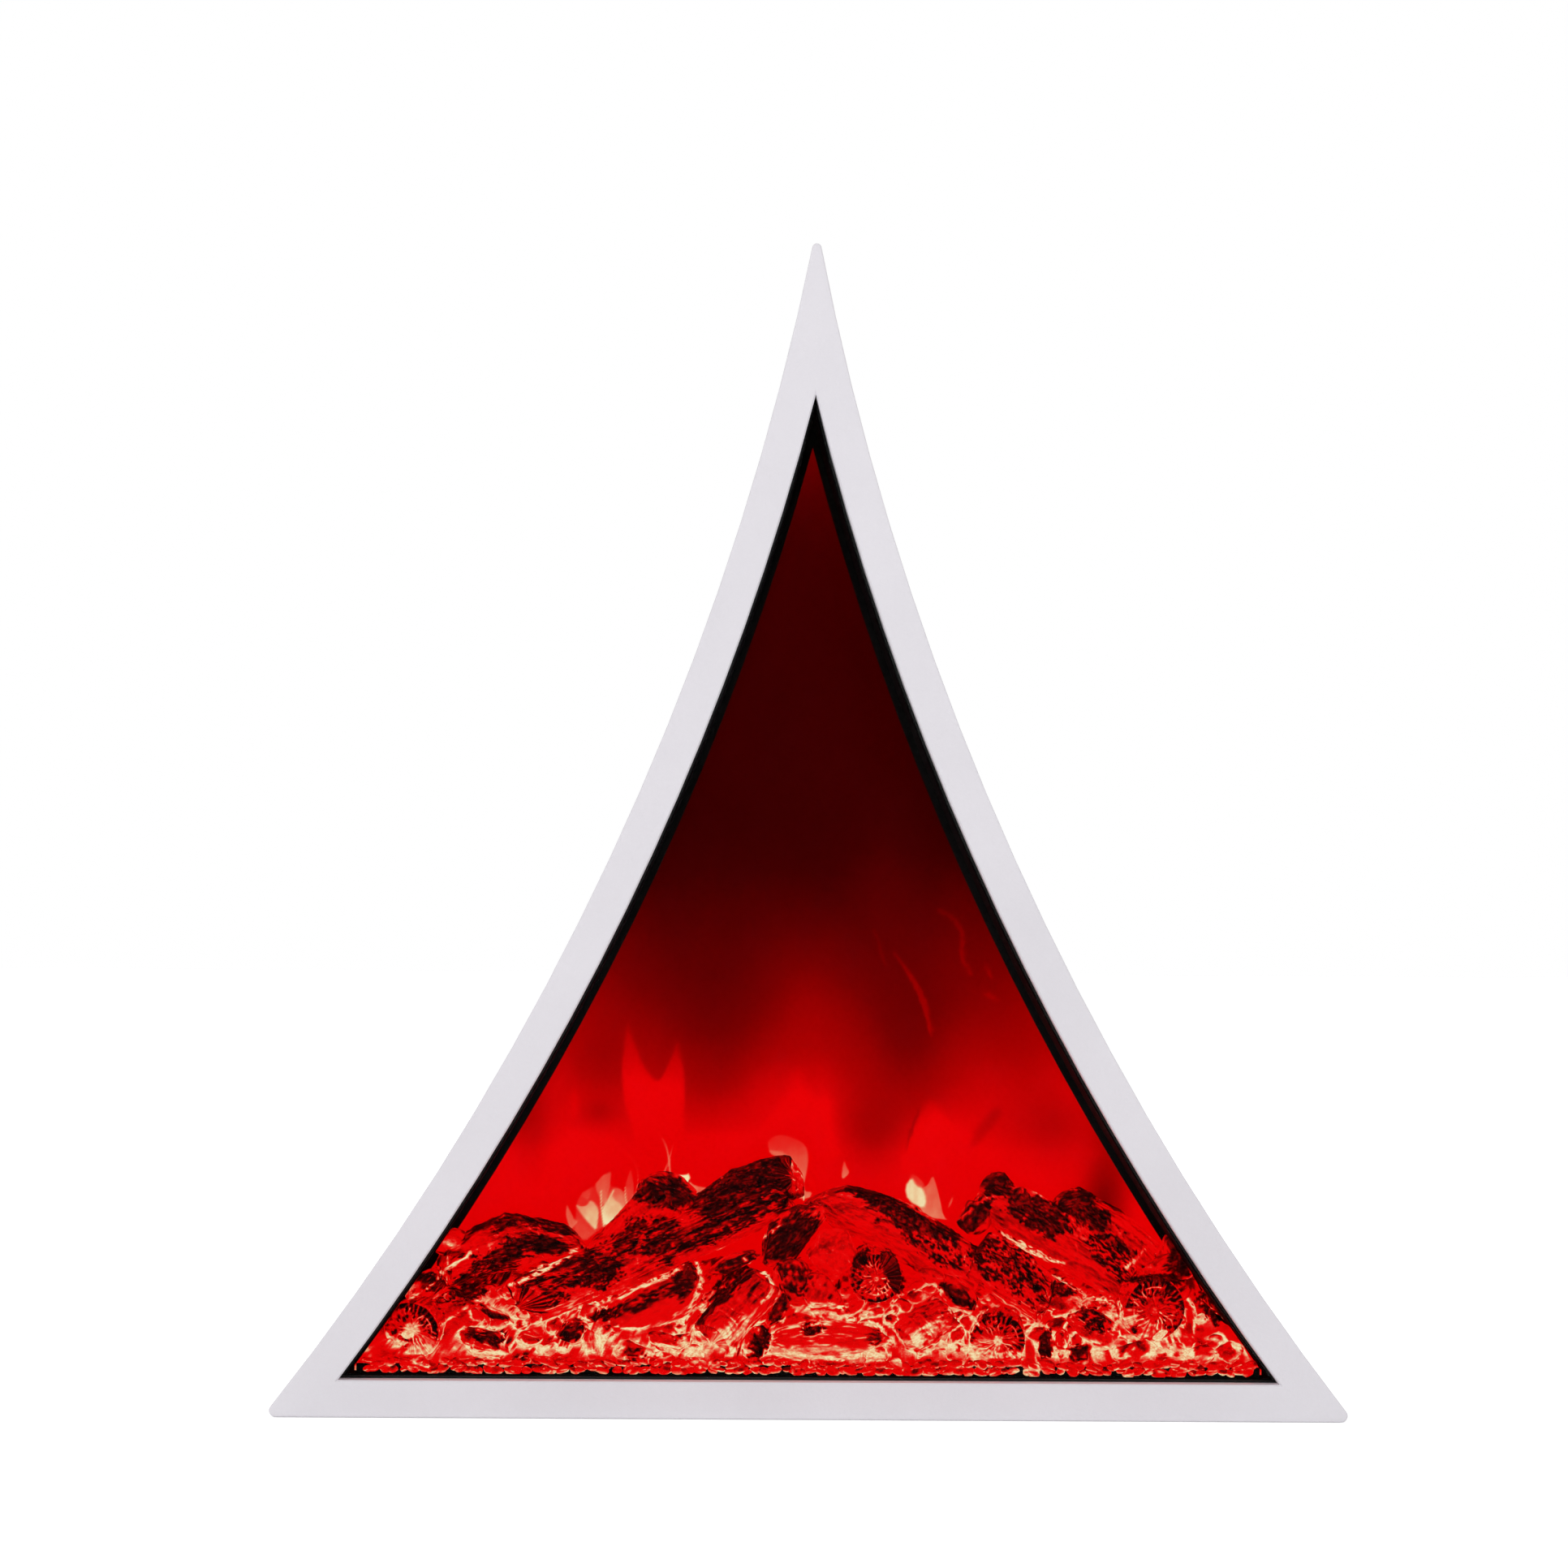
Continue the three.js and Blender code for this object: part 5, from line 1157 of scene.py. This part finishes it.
def logSurface(look, seed):
    # points of one log in rings from one end's middle to the other's, and what each point needs
    start, end = inBed(*look["ends"][0]), inBed(*look["ends"][1])
    shift = look.get("shift", (0, 0))
    start += Vector((shift[0], 0, shift[1])) * mm
    end += Vector((shift[0], 0, shift[1])) * mm
    along = (end - start).normalized()
    grow = look.get("grow", (0, 0))
    start -= along * grow[0] * mm
    end += along * grow[1] * mm
    length = (end - start).length / mm
    across = Vector((0, 0, 1)).cross(along).normalized()
    over = along.cross(across)
    mean = sum(look["radii"]) / 2
    sides = int(2 * np.pi * mean / logGrain["step"])
    bodyRings = max(12, int(length / logGrain["step"]))
    caps, rim = logGrain["capRings"], logGrain["sawnRim" if "sawn" in look else "rim"]
    corner = np.linspace(0, 1, 6)[1:-1] * np.pi / 2
    shares = [np.linspace(0.03, 1, caps) * (1 - rim / mean)]
    places = [np.zeros(caps)]
    shares.append(1 - rim / mean * (1 - np.sin(corner)))
    places.append(rim * (1 - np.cos(corner)))
    places.append(np.linspace(rim, length - rim, bodyRings))
    shares.append(np.ones(bodyRings))
    places += [length - places[1][::-1], np.full(caps, length)]
    shares += [shares[1][::-1], shares[0][::-1]]
    place, share = np.concatenate(places), np.concatenate(shares)
    onCap = np.concatenate([np.ones(caps), np.linspace(0.8, 0.2, 4), np.zeros(bodyRings),
                            np.linspace(0.2, 0.8, 4), np.ones(caps)])
    angle = np.arange(sides) * 2 * np.pi / sides
    place, turn = (a.ravel() for a in np.meshgrid(place, angle, indexing="ij"))
    share, onCap = np.repeat(share, sides), np.repeat(onCap, sides)
    part = place / length
    radius = alongGirth(part, look["radii"], look["girth"])
    shape = 1 + look["split"] * (facets(turn, seed) - 1)
    radial = np.outer(np.cos(turn), across) + np.outer(np.sin(turn), over)
    rings = np.stack([place, radius * np.cos(turn), radius * np.sin(turn)], 1)
    slide = np.zeros(len(place))
    if "askew" in look:
        startView, startUp, endView, endUp = look["askew"]
        reach = radius * share * shape
        slide += reach * (startUp * radial[:, 2] - startView * radial[:, 1]) * ease(0.55, 0.0, part)
        slide -= reach * (endUp * radial[:, 2] - endView * radial[:, 1]) * ease(0.45, 1.0, part)
    lift = look.get("rise", 0) * np.sin(np.pi * part)
    return dict(start=np.array(start), along=np.array(along), length=length, place=place, turn=turn,
                share=share, onCap=onCap, radius=radius, shape=shape, radial=radial, rings=rings,
                slide=slide, lift=lift, sides=sides, rim=rim)


def makeLog(name, look, seed, others):
    it, bark = logSurface(look, seed), logGrain
    rings = it["rings"] + seed * 100.0
    place, share, onCap, radial = it["place"], it["share"], it["onCap"], it["radial"]
    upness = radial[:, 2]
    lumps = layered(rings, bark["lumpSize"], seed) * bark["lumps"]
    lumps += layered(rings, bark["knotSize"], seed + 20) * bark["knots"]
    if "sawn" in look:
        lumps *= 0.5
    cracks = veins(rings, bark["crackSize"], 0.16, seed + 2)
    splits = veins(rings, bark["splitSize"], 0.10, seed + 3) * ease(0.0, 0.4, layered(rings, 14, seed + 4))
    streaks = layered(rings, bark[look.get("bark", "streaked")], seed + 9, 3)
    patch = layered(rings, bark["patchSize"], seed + 5, 4)
    plate = ease(0.04, 0.18, upness * 0.55 + 0.85 * patch - 0.52)
    push = lumps - bark["ridge"] * (cracks + 0.8 * splits + ease(0, 0.4, streaks))
    push += bark["plate"] * plate
    face = ease(0.5, 0.9, onCap)
    capSpots = it["rings"] * np.array([0, 1, 1]) * share[:, None] + seed * 70 + onCap[:, None]
    capPush = layered(capSpots, 9, seed + 7) * 2.2 + layered(capSpots, 3, seed + 8) * 0.7
    capPush -= 2.4 * (share - 0.4)
    heat = resinHeat + 0.05 * layered(rings, 9, seed + 8)
    height = (it["start"][2] + place * mm * it["along"][2]) / mm + it["radius"] * upness
    lit = ease(*bark["litHeights"], height)
    zone = (0.20 + 0.80 * ease(-0.20, 0.35, layered(rings, 20, seed + 10) + 0.3 * upness)) * (1 - 0.5 * lit)
    heat -= bark["streaks"] * ease(0.10, 0.42, streaks) * zone
    heat -= bark["flecks"] * ease(0.15, 0.42, layered(rings, bark["fleckSize"], seed + 11, 2)) * zone
    ember = bark["charHeat"] + bark["charRange"] * ease(-0.3, 0.5, streaks)
    ember += bark["charCracks"] * cracks * ease(0.0, 0.4, layered(rings, 9, seed + 13))
    heat = heat * (1 - plate) + ember * plate
    scratch = veins(rings, bark["scratchSize"], 0.20, seed + 15) + 0.6 * splits
    heat += bark["scratches"] * scratch * lit * ease(0.35, -0.5, upness) * (1 - plate)
    heat += bark["splits"] * splits * ease(0.3, -0.3, np.abs(upness - 0.2) - 0.3)
    if "sawn" in look:
        capShare = np.clip(share / (1 - it["rim"] / it["radius"]), 0, 1)
        capHeat, capDepth = sawnFace(capShare, it["turn"], it["radius"], seed, look["sawn"])
        capPush = 0.25 * layered(capSpots, 7, seed + 7) + capDepth
    else:
        capHeat = pureRed - bark["capDark"] * ease(-0.1, 0.4, layered(capSpots, 7, seed + 18))
        capHeat += (bark["capCracks"] * veins(capSpots, 5, 0.14, seed + 19)
                    - 0.15 * layered(capSpots, 2.4, seed + 17))
    heat = heat * (1 - face) + np.clip(capHeat, 0, 1) * face
    outward = np.where(place < it["length"] / 2, -1.0, 1.0)
    body = it["radius"] * share * it["shape"] + push * (1 - face) * ease(0, 0.4, share)
    slide = it["slide"] + outward * capPush * face
    points = it["start"] + mm * ((place + slide)[:, None] * it["along"] + body[:, None] * radial)
    points[:, 2] += it["lift"] * mm
    facing = radial * (1 - face)[:, None] + (outward * face)[:, None] * it["along"]
    heat = glowBetween(points, heat, nearness(points, others), facing[:, 2])
    heat = fireMarks(points, rings, heat, seed, streaks)
    index = np.arange(len(points)).reshape(-1, it["sides"])
    quads = quadsOf(np.concatenate([index, index[:, :1]], axis=1))
    smooth = facing / np.linalg.norm(facing, axis=1)[:, None]
    outness = np.sign(np.sum(turnedOut(points, quads) * smooth, axis=1).mean())
    # painted light and shade on the log's relief
    heat = reliefShaded(points, quads[:, ::int(outness)], smooth, heat)
    points = insideFirebox(points)
    faces = quads.tolist() + [index[0, ::-1].tolist(), index[-1].tolist()]
    return makePiece(name.replace("log_", "burnt_log_"), points, faces, heat, rings * mm, "charredLog",
                     [name])


def insideFirebox(points, gap=0.0010, front=0.0042):
    # keeps points off the firebox wall, the gasket, the screen and the floor
    limit = halfWidth(points[:, 2], linerInset) - gap
    points[:, 0] = np.clip(points[:, 0], -limit, limit)
    points[:, 1] = np.clip(points[:, 1], bedLow.y - front, bedHigh.y + 0.0035)
    points[:, 2] = np.maximum(points[:, 2], linerInset + 0.0002)
    return points


def makeLogs():
    for number, (name, look) in enumerate(logs.items()):
        others = [nodes[other] for other in logs if other != name] + [nodes["ember_bed"]]
        makeLog(name, look, number + 1, treeOf(others))


makeLogs()
print("logs made")


# coals, by where they lie in the photograph: middle, size in pixels, lean in degrees; then the share of
# the bed's depth for those that logs carry, and how charred they are
coals = [
    (600, 1655, 62, 40, -18), (614, 1624, 54, 24, -26), (652, 1651, 30, 22, 0), (705, 1641, 38, 30, 25),
    (730, 1660, 22, 48, 8), (780, 1667, 42, 30, 0), (451, 1679, 18, 12, 0), (486, 1680, 30, 14, 10),
    (570, 1680, 32, 16, 0), (674, 1684, 24, 16, 0), (796, 1614, 136, 52, 24, None, 0.35),
    (842, 1578, 40, 34, 60, 0.42), (905, 1556, 58, 22, 22, 0.45), (932, 1656, 32, 42, -30),
    (1020, 1655, 142, 46, 2, None, 0.15), (980, 1578, 46, 52, 50, 0.34), (974, 1522, 86, 52, 40, 0.48),
    (820, 1474, 68, 50, -8, 0.79), (1027, 1545, 54, 66, 80, 0.4, 0.3), (1012, 1592, 40, 52, 70, 0.3),
    (960, 1612, 20, 48, -28, 0.3), (1002, 1636, 26, 18, 0, 0.04), (1045, 1616, 30, 16, 0),
    (1081, 1671, 26, 24, 0), (906, 1683, 30, 14, 0), (936, 1685, 20, 12, 0), (1087, 1685, 22, 12, 0),
    (817, 1676, 28, 20, 0), (822, 1652, 48, 20, -12), (1182, 1598, 48, 30, -34, 0.4),
    (1308, 1602, 60, 52, -40), (1346, 1636, 62, 40, -34), (1362, 1605, 36, 28, 0), (1289, 1657, 22, 44, 4),
    (1307, 1660, 20, 40, -5), (1331, 1666, 34, 32, 0), (1398, 1668, 50, 34, 14), (1445, 1676, 38, 22, -10),
    (1478, 1672, 40, 24, 24), (1515, 1668, 30, 30, 0), (1179, 1667, 26, 30, 0),
    (1201, 1499, 46, 36, 42, 0.62), (1232, 1462, 42, 34, 0, 0.7), (1255, 1484, 30, 38, 0, 0.55),
    (1327, 1482, 52, 32, 12, 0.72), (1452, 1548, 36, 62, 10, 0.6), (1500, 1604, 46, 30, -45),
    (1430, 1560, 40, 26, 20, 0.5), (556, 1531, 50, 32, -12, 0.7), (525, 1583, 52, 34, 40, 0.45),
    (720, 1606, 40, 24, -20), (1130, 1590, 40, 22, 20), (1150, 1572, 34, 20, -20, 0.4),
]
coalLook = {
    "planes": 9, "cut": (0.78, 1.0),
    "large": 50,  # pixels; larger ones get a finer mesh
    "litHeights": (80, 34), "streakSize": (6, 2.0, 2.0), "patchSize": 6, "crackSize": (12, 3.4, 3.4),
    "charHeat": 0.14, "charRange": 0.30, "streaks": 0.24, "cracks": 0.24, "under": 0.12,
}
chips = {  # small ones strewn over the bed, and two rows that hide the lip of the tray; millimetres
    "count": 190, "seed": 12, "size": (3.2, 7.6), "deep": (0.55, 0.85), "tall": (0.5, 0.85),
    "frontRow": 96, "frontSize": (2.6, 5.2), "frontTall": (0.5, 0.75),
    "frontHeights": ((31.2, 34.2), (27.8, 29.6)),
}


def ballPoints(level):
    ball = bmesh.new()
    bmesh.ops.create_icosphere(ball, subdivisions=level, radius=1.0)
    points = np.array([v.co for v in ball.verts])
    faces = np.array([[v.index for v in f.verts] for f in ball.faces])
    ball.free()
    return points, faces


balls = {level: ballPoints(level) for level in (3, 4, 5)}


def leaned(points, lean):
    angle = math.radians(lean)
    turned = points.copy()
    turned[:, 0] = points[:, 0] * math.cos(angle) - points[:, 2] * math.sin(angle)
    turned[:, 2] = points[:, 0] * math.sin(angle) + points[:, 2] * math.cos(angle)
    return turned


def coalShape(centre, half, lean, seed, level):
    # a broken lump: a ball cut by some planes, stretched, leaned and roughened; sizes in millimetres
    draw = np.random.default_rng(seed)
    ball, faces = balls[level]
    reach = np.full(len(ball), 1.16)
    for _ in range(coalLook["planes"]):
        facing = draw.normal(size=3)
        facing /= np.linalg.norm(facing)
        reach = np.minimum(reach, draw.uniform(*coalLook["cut"]) / np.maximum(ball @ facing, 0.15))
    spots = ball * 10 + seed * 9
    uneven = 1 + 0.09 * layered(spots, 5.0, seed) + 0.035 * layered(spots, 1.1, seed + 1)
    local = ball * (reach * uneven)[:, None] * np.array(half)
    straight = ball / np.array(half)
    straight /= np.linalg.norm(straight, axis=1)[:, None]
    return np.array(centre) + leaned(local, lean) * mm, faces, leaned(straight, lean), local


def coalHeat(points, local, up, seed, near, charred):
    look, size = coalLook, local + seed * 60.0
    low = ease(*look["litHeights"], points[:, 2] / mm)
    streaks = layered(size, look["streakSize"], seed + 4, 3)
    heat = resinHeat + 0.05 * layered(size, 8, seed)
    # painted light from the bed on the undersides low in the bed
    heat += look["under"] * low * ease(0.1, -0.6, up)
    patch = layered(size, look["patchSize"], seed + 2, 3)
    patch = ease(0.02, 0.22, 0.34 * up + 0.80 * patch - 0.20) * charred
    dark = look["charHeat"] + look["charRange"] * ease(-0.15, 0.5, streaks)
    heat = heat * (1 - patch) + dark * patch
    heat -= look["streaks"] * ease(0.12, 0.40, streaks) * (1 - patch) * charred * (1 - 0.5 * low)
    lit = ease(-0.1, 0.4, low + 0.3 * layered(size, 9, 3))
    heat += look["cracks"] * veins(size, look["crackSize"], 0.13, seed + 5) * lit
    return fireMarks(points, size, glowBetween(points, heat, near, up), seed, streaks)


def onBed(px, py):
    # where the view ray through a pixel first meets the bed, as a share of its depth
    for share in np.linspace(0.0, 1.0, 60):
        spot = behindPixel(px, py, bedDeep(share))
        if spot.z <= bedRise(spot.x, share):
            return share
    return 0.75


def placeCoal(number, px, py, width, height, lean, share=None, charred=0.8):
    # middle, half sizes, lean, seed, fineness and char of one coal; without a share it lies on the bed
    y = bedDeep(onBed(px, py) if share is None else share)
    spot = behindPixel(px, py, y)
    perPixel = (y - cameraSpot.y) / pixelFocus / mm
    wide, tall = width * perPixel / 2, height * perPixel / 2
    half = (wide, min(wide, tall) * 0.9, tall)
    spot.y = max(spot.y, bedLow.y + half[1] * 0.35 * mm)
    return spot, half, lean, 200 + number, 5 if width > coalLook["large"] else 4, charred


def strewChips():
    look = chips
    draw = np.random.default_rng(look["seed"])
    placed = []
    for number in range(look["count"]):
        share = draw.uniform(0.10, 0.8)
        x = draw.uniform(-1, 1) * (halfWidth(bedRise(0.0, share), linerInset) - 0.008)
        size = draw.uniform(*look["size"])
        half = (size, size * draw.uniform(*look["deep"]), size * draw.uniform(*look["tall"]))
        spot = Vector((x, bedDeep(share), bedRise(x, share) + half[2] * 0.2 * mm))
        placed.append((spot, half, draw.uniform(-40, 40), 400 + number, 3, 0.9))
    for number in range(2 * look["frontRow"]):
        row, place = number % 2, number // 2 + draw.uniform(0.1, 0.9)
        x = (-1 + 2 * place / look["frontRow"]) * (halfWidth(0.030, linerInset) - 0.007)
        size = draw.uniform(*look["frontSize"])
        half = (size, 2.3, min(size * draw.uniform(*look["frontTall"]), 3.2))
        height = draw.uniform(*look["frontHeights"][row])
        spot = Vector((x, bedLow.y - draw.uniform(1.0, 2.0) * mm, height * mm))
        placed.append((spot, half, draw.uniform(-25, 25), 700 + number, 3, 0.7))
    return placed


def makeCoals(name, placed, fixedTree):
    low = [coalShape(spot, half, lean, seed, 3)[:2] for spot, half, lean, seed, level, charred in placed]
    allPoints, allFaces, allHeat, allFibre, first = [], [], [], [], 0
    for number, (spot, half, lean, seed, level, charred) in enumerate(placed):
        points, faces, facing, local = coalShape(spot, half, lean, seed, level)
        reach = max(half) * mm + 0.009
        soup, polys = [], []
        for k, other in enumerate(placed):
            if k != number and (other[0] - spot).length < reach + max(other[1]) * mm:
                polys += (low[k][1] + len(soup)).tolist()
                soup += low[k][0].tolist()
        near = nearness(points, fixedTree)
        if soup:
            near = np.minimum(near, nearness(points, BVHTree.FromPolygons(soup, polys)))
        heat = coalHeat(points, local, facing[:, 2], seed, near, charred)
        # painted light and shade on the coal's relief
        allHeat.append(reliefShaded(points, faces, facing, heat))
        allPoints.append(insideFirebox(points))
        allFibre.append((local + seed * 60.0) * mm)
        allFaces += (faces + first).tolist()
        first += len(points)
    return makePiece(name, np.concatenate(allPoints), allFaces, np.concatenate(allHeat),
                     np.concatenate(allFibre), "glowingCoal")


fireNodes = treeOf([nodes[name] for name in logs] + [nodes["ember_bed"]])
makeCoals("ember_coals", [placeCoal(number, *coal) for number, coal in enumerate(coals)], fireNodes)
makeCoals("ember_chips", strewChips(), fireNodes)
print("coals made")


# the bed itself
bedGrain = {  # millimetres between points, height and size of the lumps; then rows down the front
    "step": 1.15, "lump": 2.6, "lumpSize": 9, "frontRows": 6,
    "litHeights": (88, 38), "glowSize": 7, "glow": 0.20, "darkSize": 6, "dark": 0.40,
}


def makeBed():
    columns = int((bedHigh.x - bedLow.x) / mm / bedGrain["step"])
    rows = int((bedHigh.y - bedLow.y) / mm / bedGrain["step"])
    across, deep = (a.ravel() for a in np.meshgrid(np.linspace(-1, 1, columns), np.linspace(0, 1, rows)))
    x = across * (halfWidth(bedRise(across * 0.28, deep), linerInset) - 0.0009)
    flat = np.stack([x, deep * (bedHigh.y - bedLow.y), x * 0], 1) / mm
    lumps = bedGrain["lump"] * mm * layered(flat, bedGrain["lumpSize"], 61, 3)
    z = bedRise(x, deep) + lumps * ease(0.0, 0.10, deep)
    top = insideFirebox(np.stack([x, bedDeep(deep), z], 1), 0.0009)
    skirts, frontRows = [], bedGrain["frontRows"]
    for k in range(1, frontRows + 1):
        row = top[:columns].copy()
        row[:, 2] += (bedLow.z - row[:, 2]) * k / frontRows
        skirts.append(row)
    rear = top[-columns:].copy()
    rear[:, 2] = bedLow.z
    points = np.concatenate([top] + skirts + [rear])
    coalTree = treeOf([bpy.data.objects["ember_coals"], bpy.data.objects["ember_chips"]])
    logTree = treeOf([nodes[name] for name in logs])
    near = np.minimum(nearness(points, coalTree), nearness(points, logTree))
    size = points / mm
    low = ease(*bedGrain["litHeights"], size[:, 2])
    streaks = layered(size, 3.2, 71, 3)
    glow = bedGrain["glow"] * layered(size, bedGrain["glowSize"], 67) * (0.3 + low)
    heat = resinHeat + 0.05 * low + glow + 0.10 * streaks * low
    heat -= bedGrain["dark"] * ease(0.14, 0.40, layered(size, bedGrain["darkSize"], 69)) * (1 - 0.7 * low)
    heat = fireMarks(points, size, glowBetween(points, heat, near, np.full(len(points), 0.3)), 77, streaks)
    index = np.arange(len(top)).reshape(rows, columns)
    wall = np.arange(len(top), len(top) + frontRows * columns).reshape(frontRows, columns)
    wall = np.concatenate([index[:1], wall])
    last = np.arange(len(points) - columns, len(points))
    sheets = [index, wall[:, ::-1], np.stack([last, index[-1]])[:, ::-1], np.stack([wall[-1], last])[::-1]]
    faces = []
    for sheet in sheets:
        faces += quadsOf(sheet).tolist()
    for side in (0, -1):
        ring = [int(i) for i in list(wall[::-1, side]) + list(index[1:, side]) + [last[side]]]
        faces.append(ring[::-1] if side == 0 else ring)
    return makePiece("ember_bed_casting", points, faces, heat, points, "glowingCoal",
                     ["ember_bed"])


makeBed()
print("ember bed made")


bpy.context.view_layer.update()
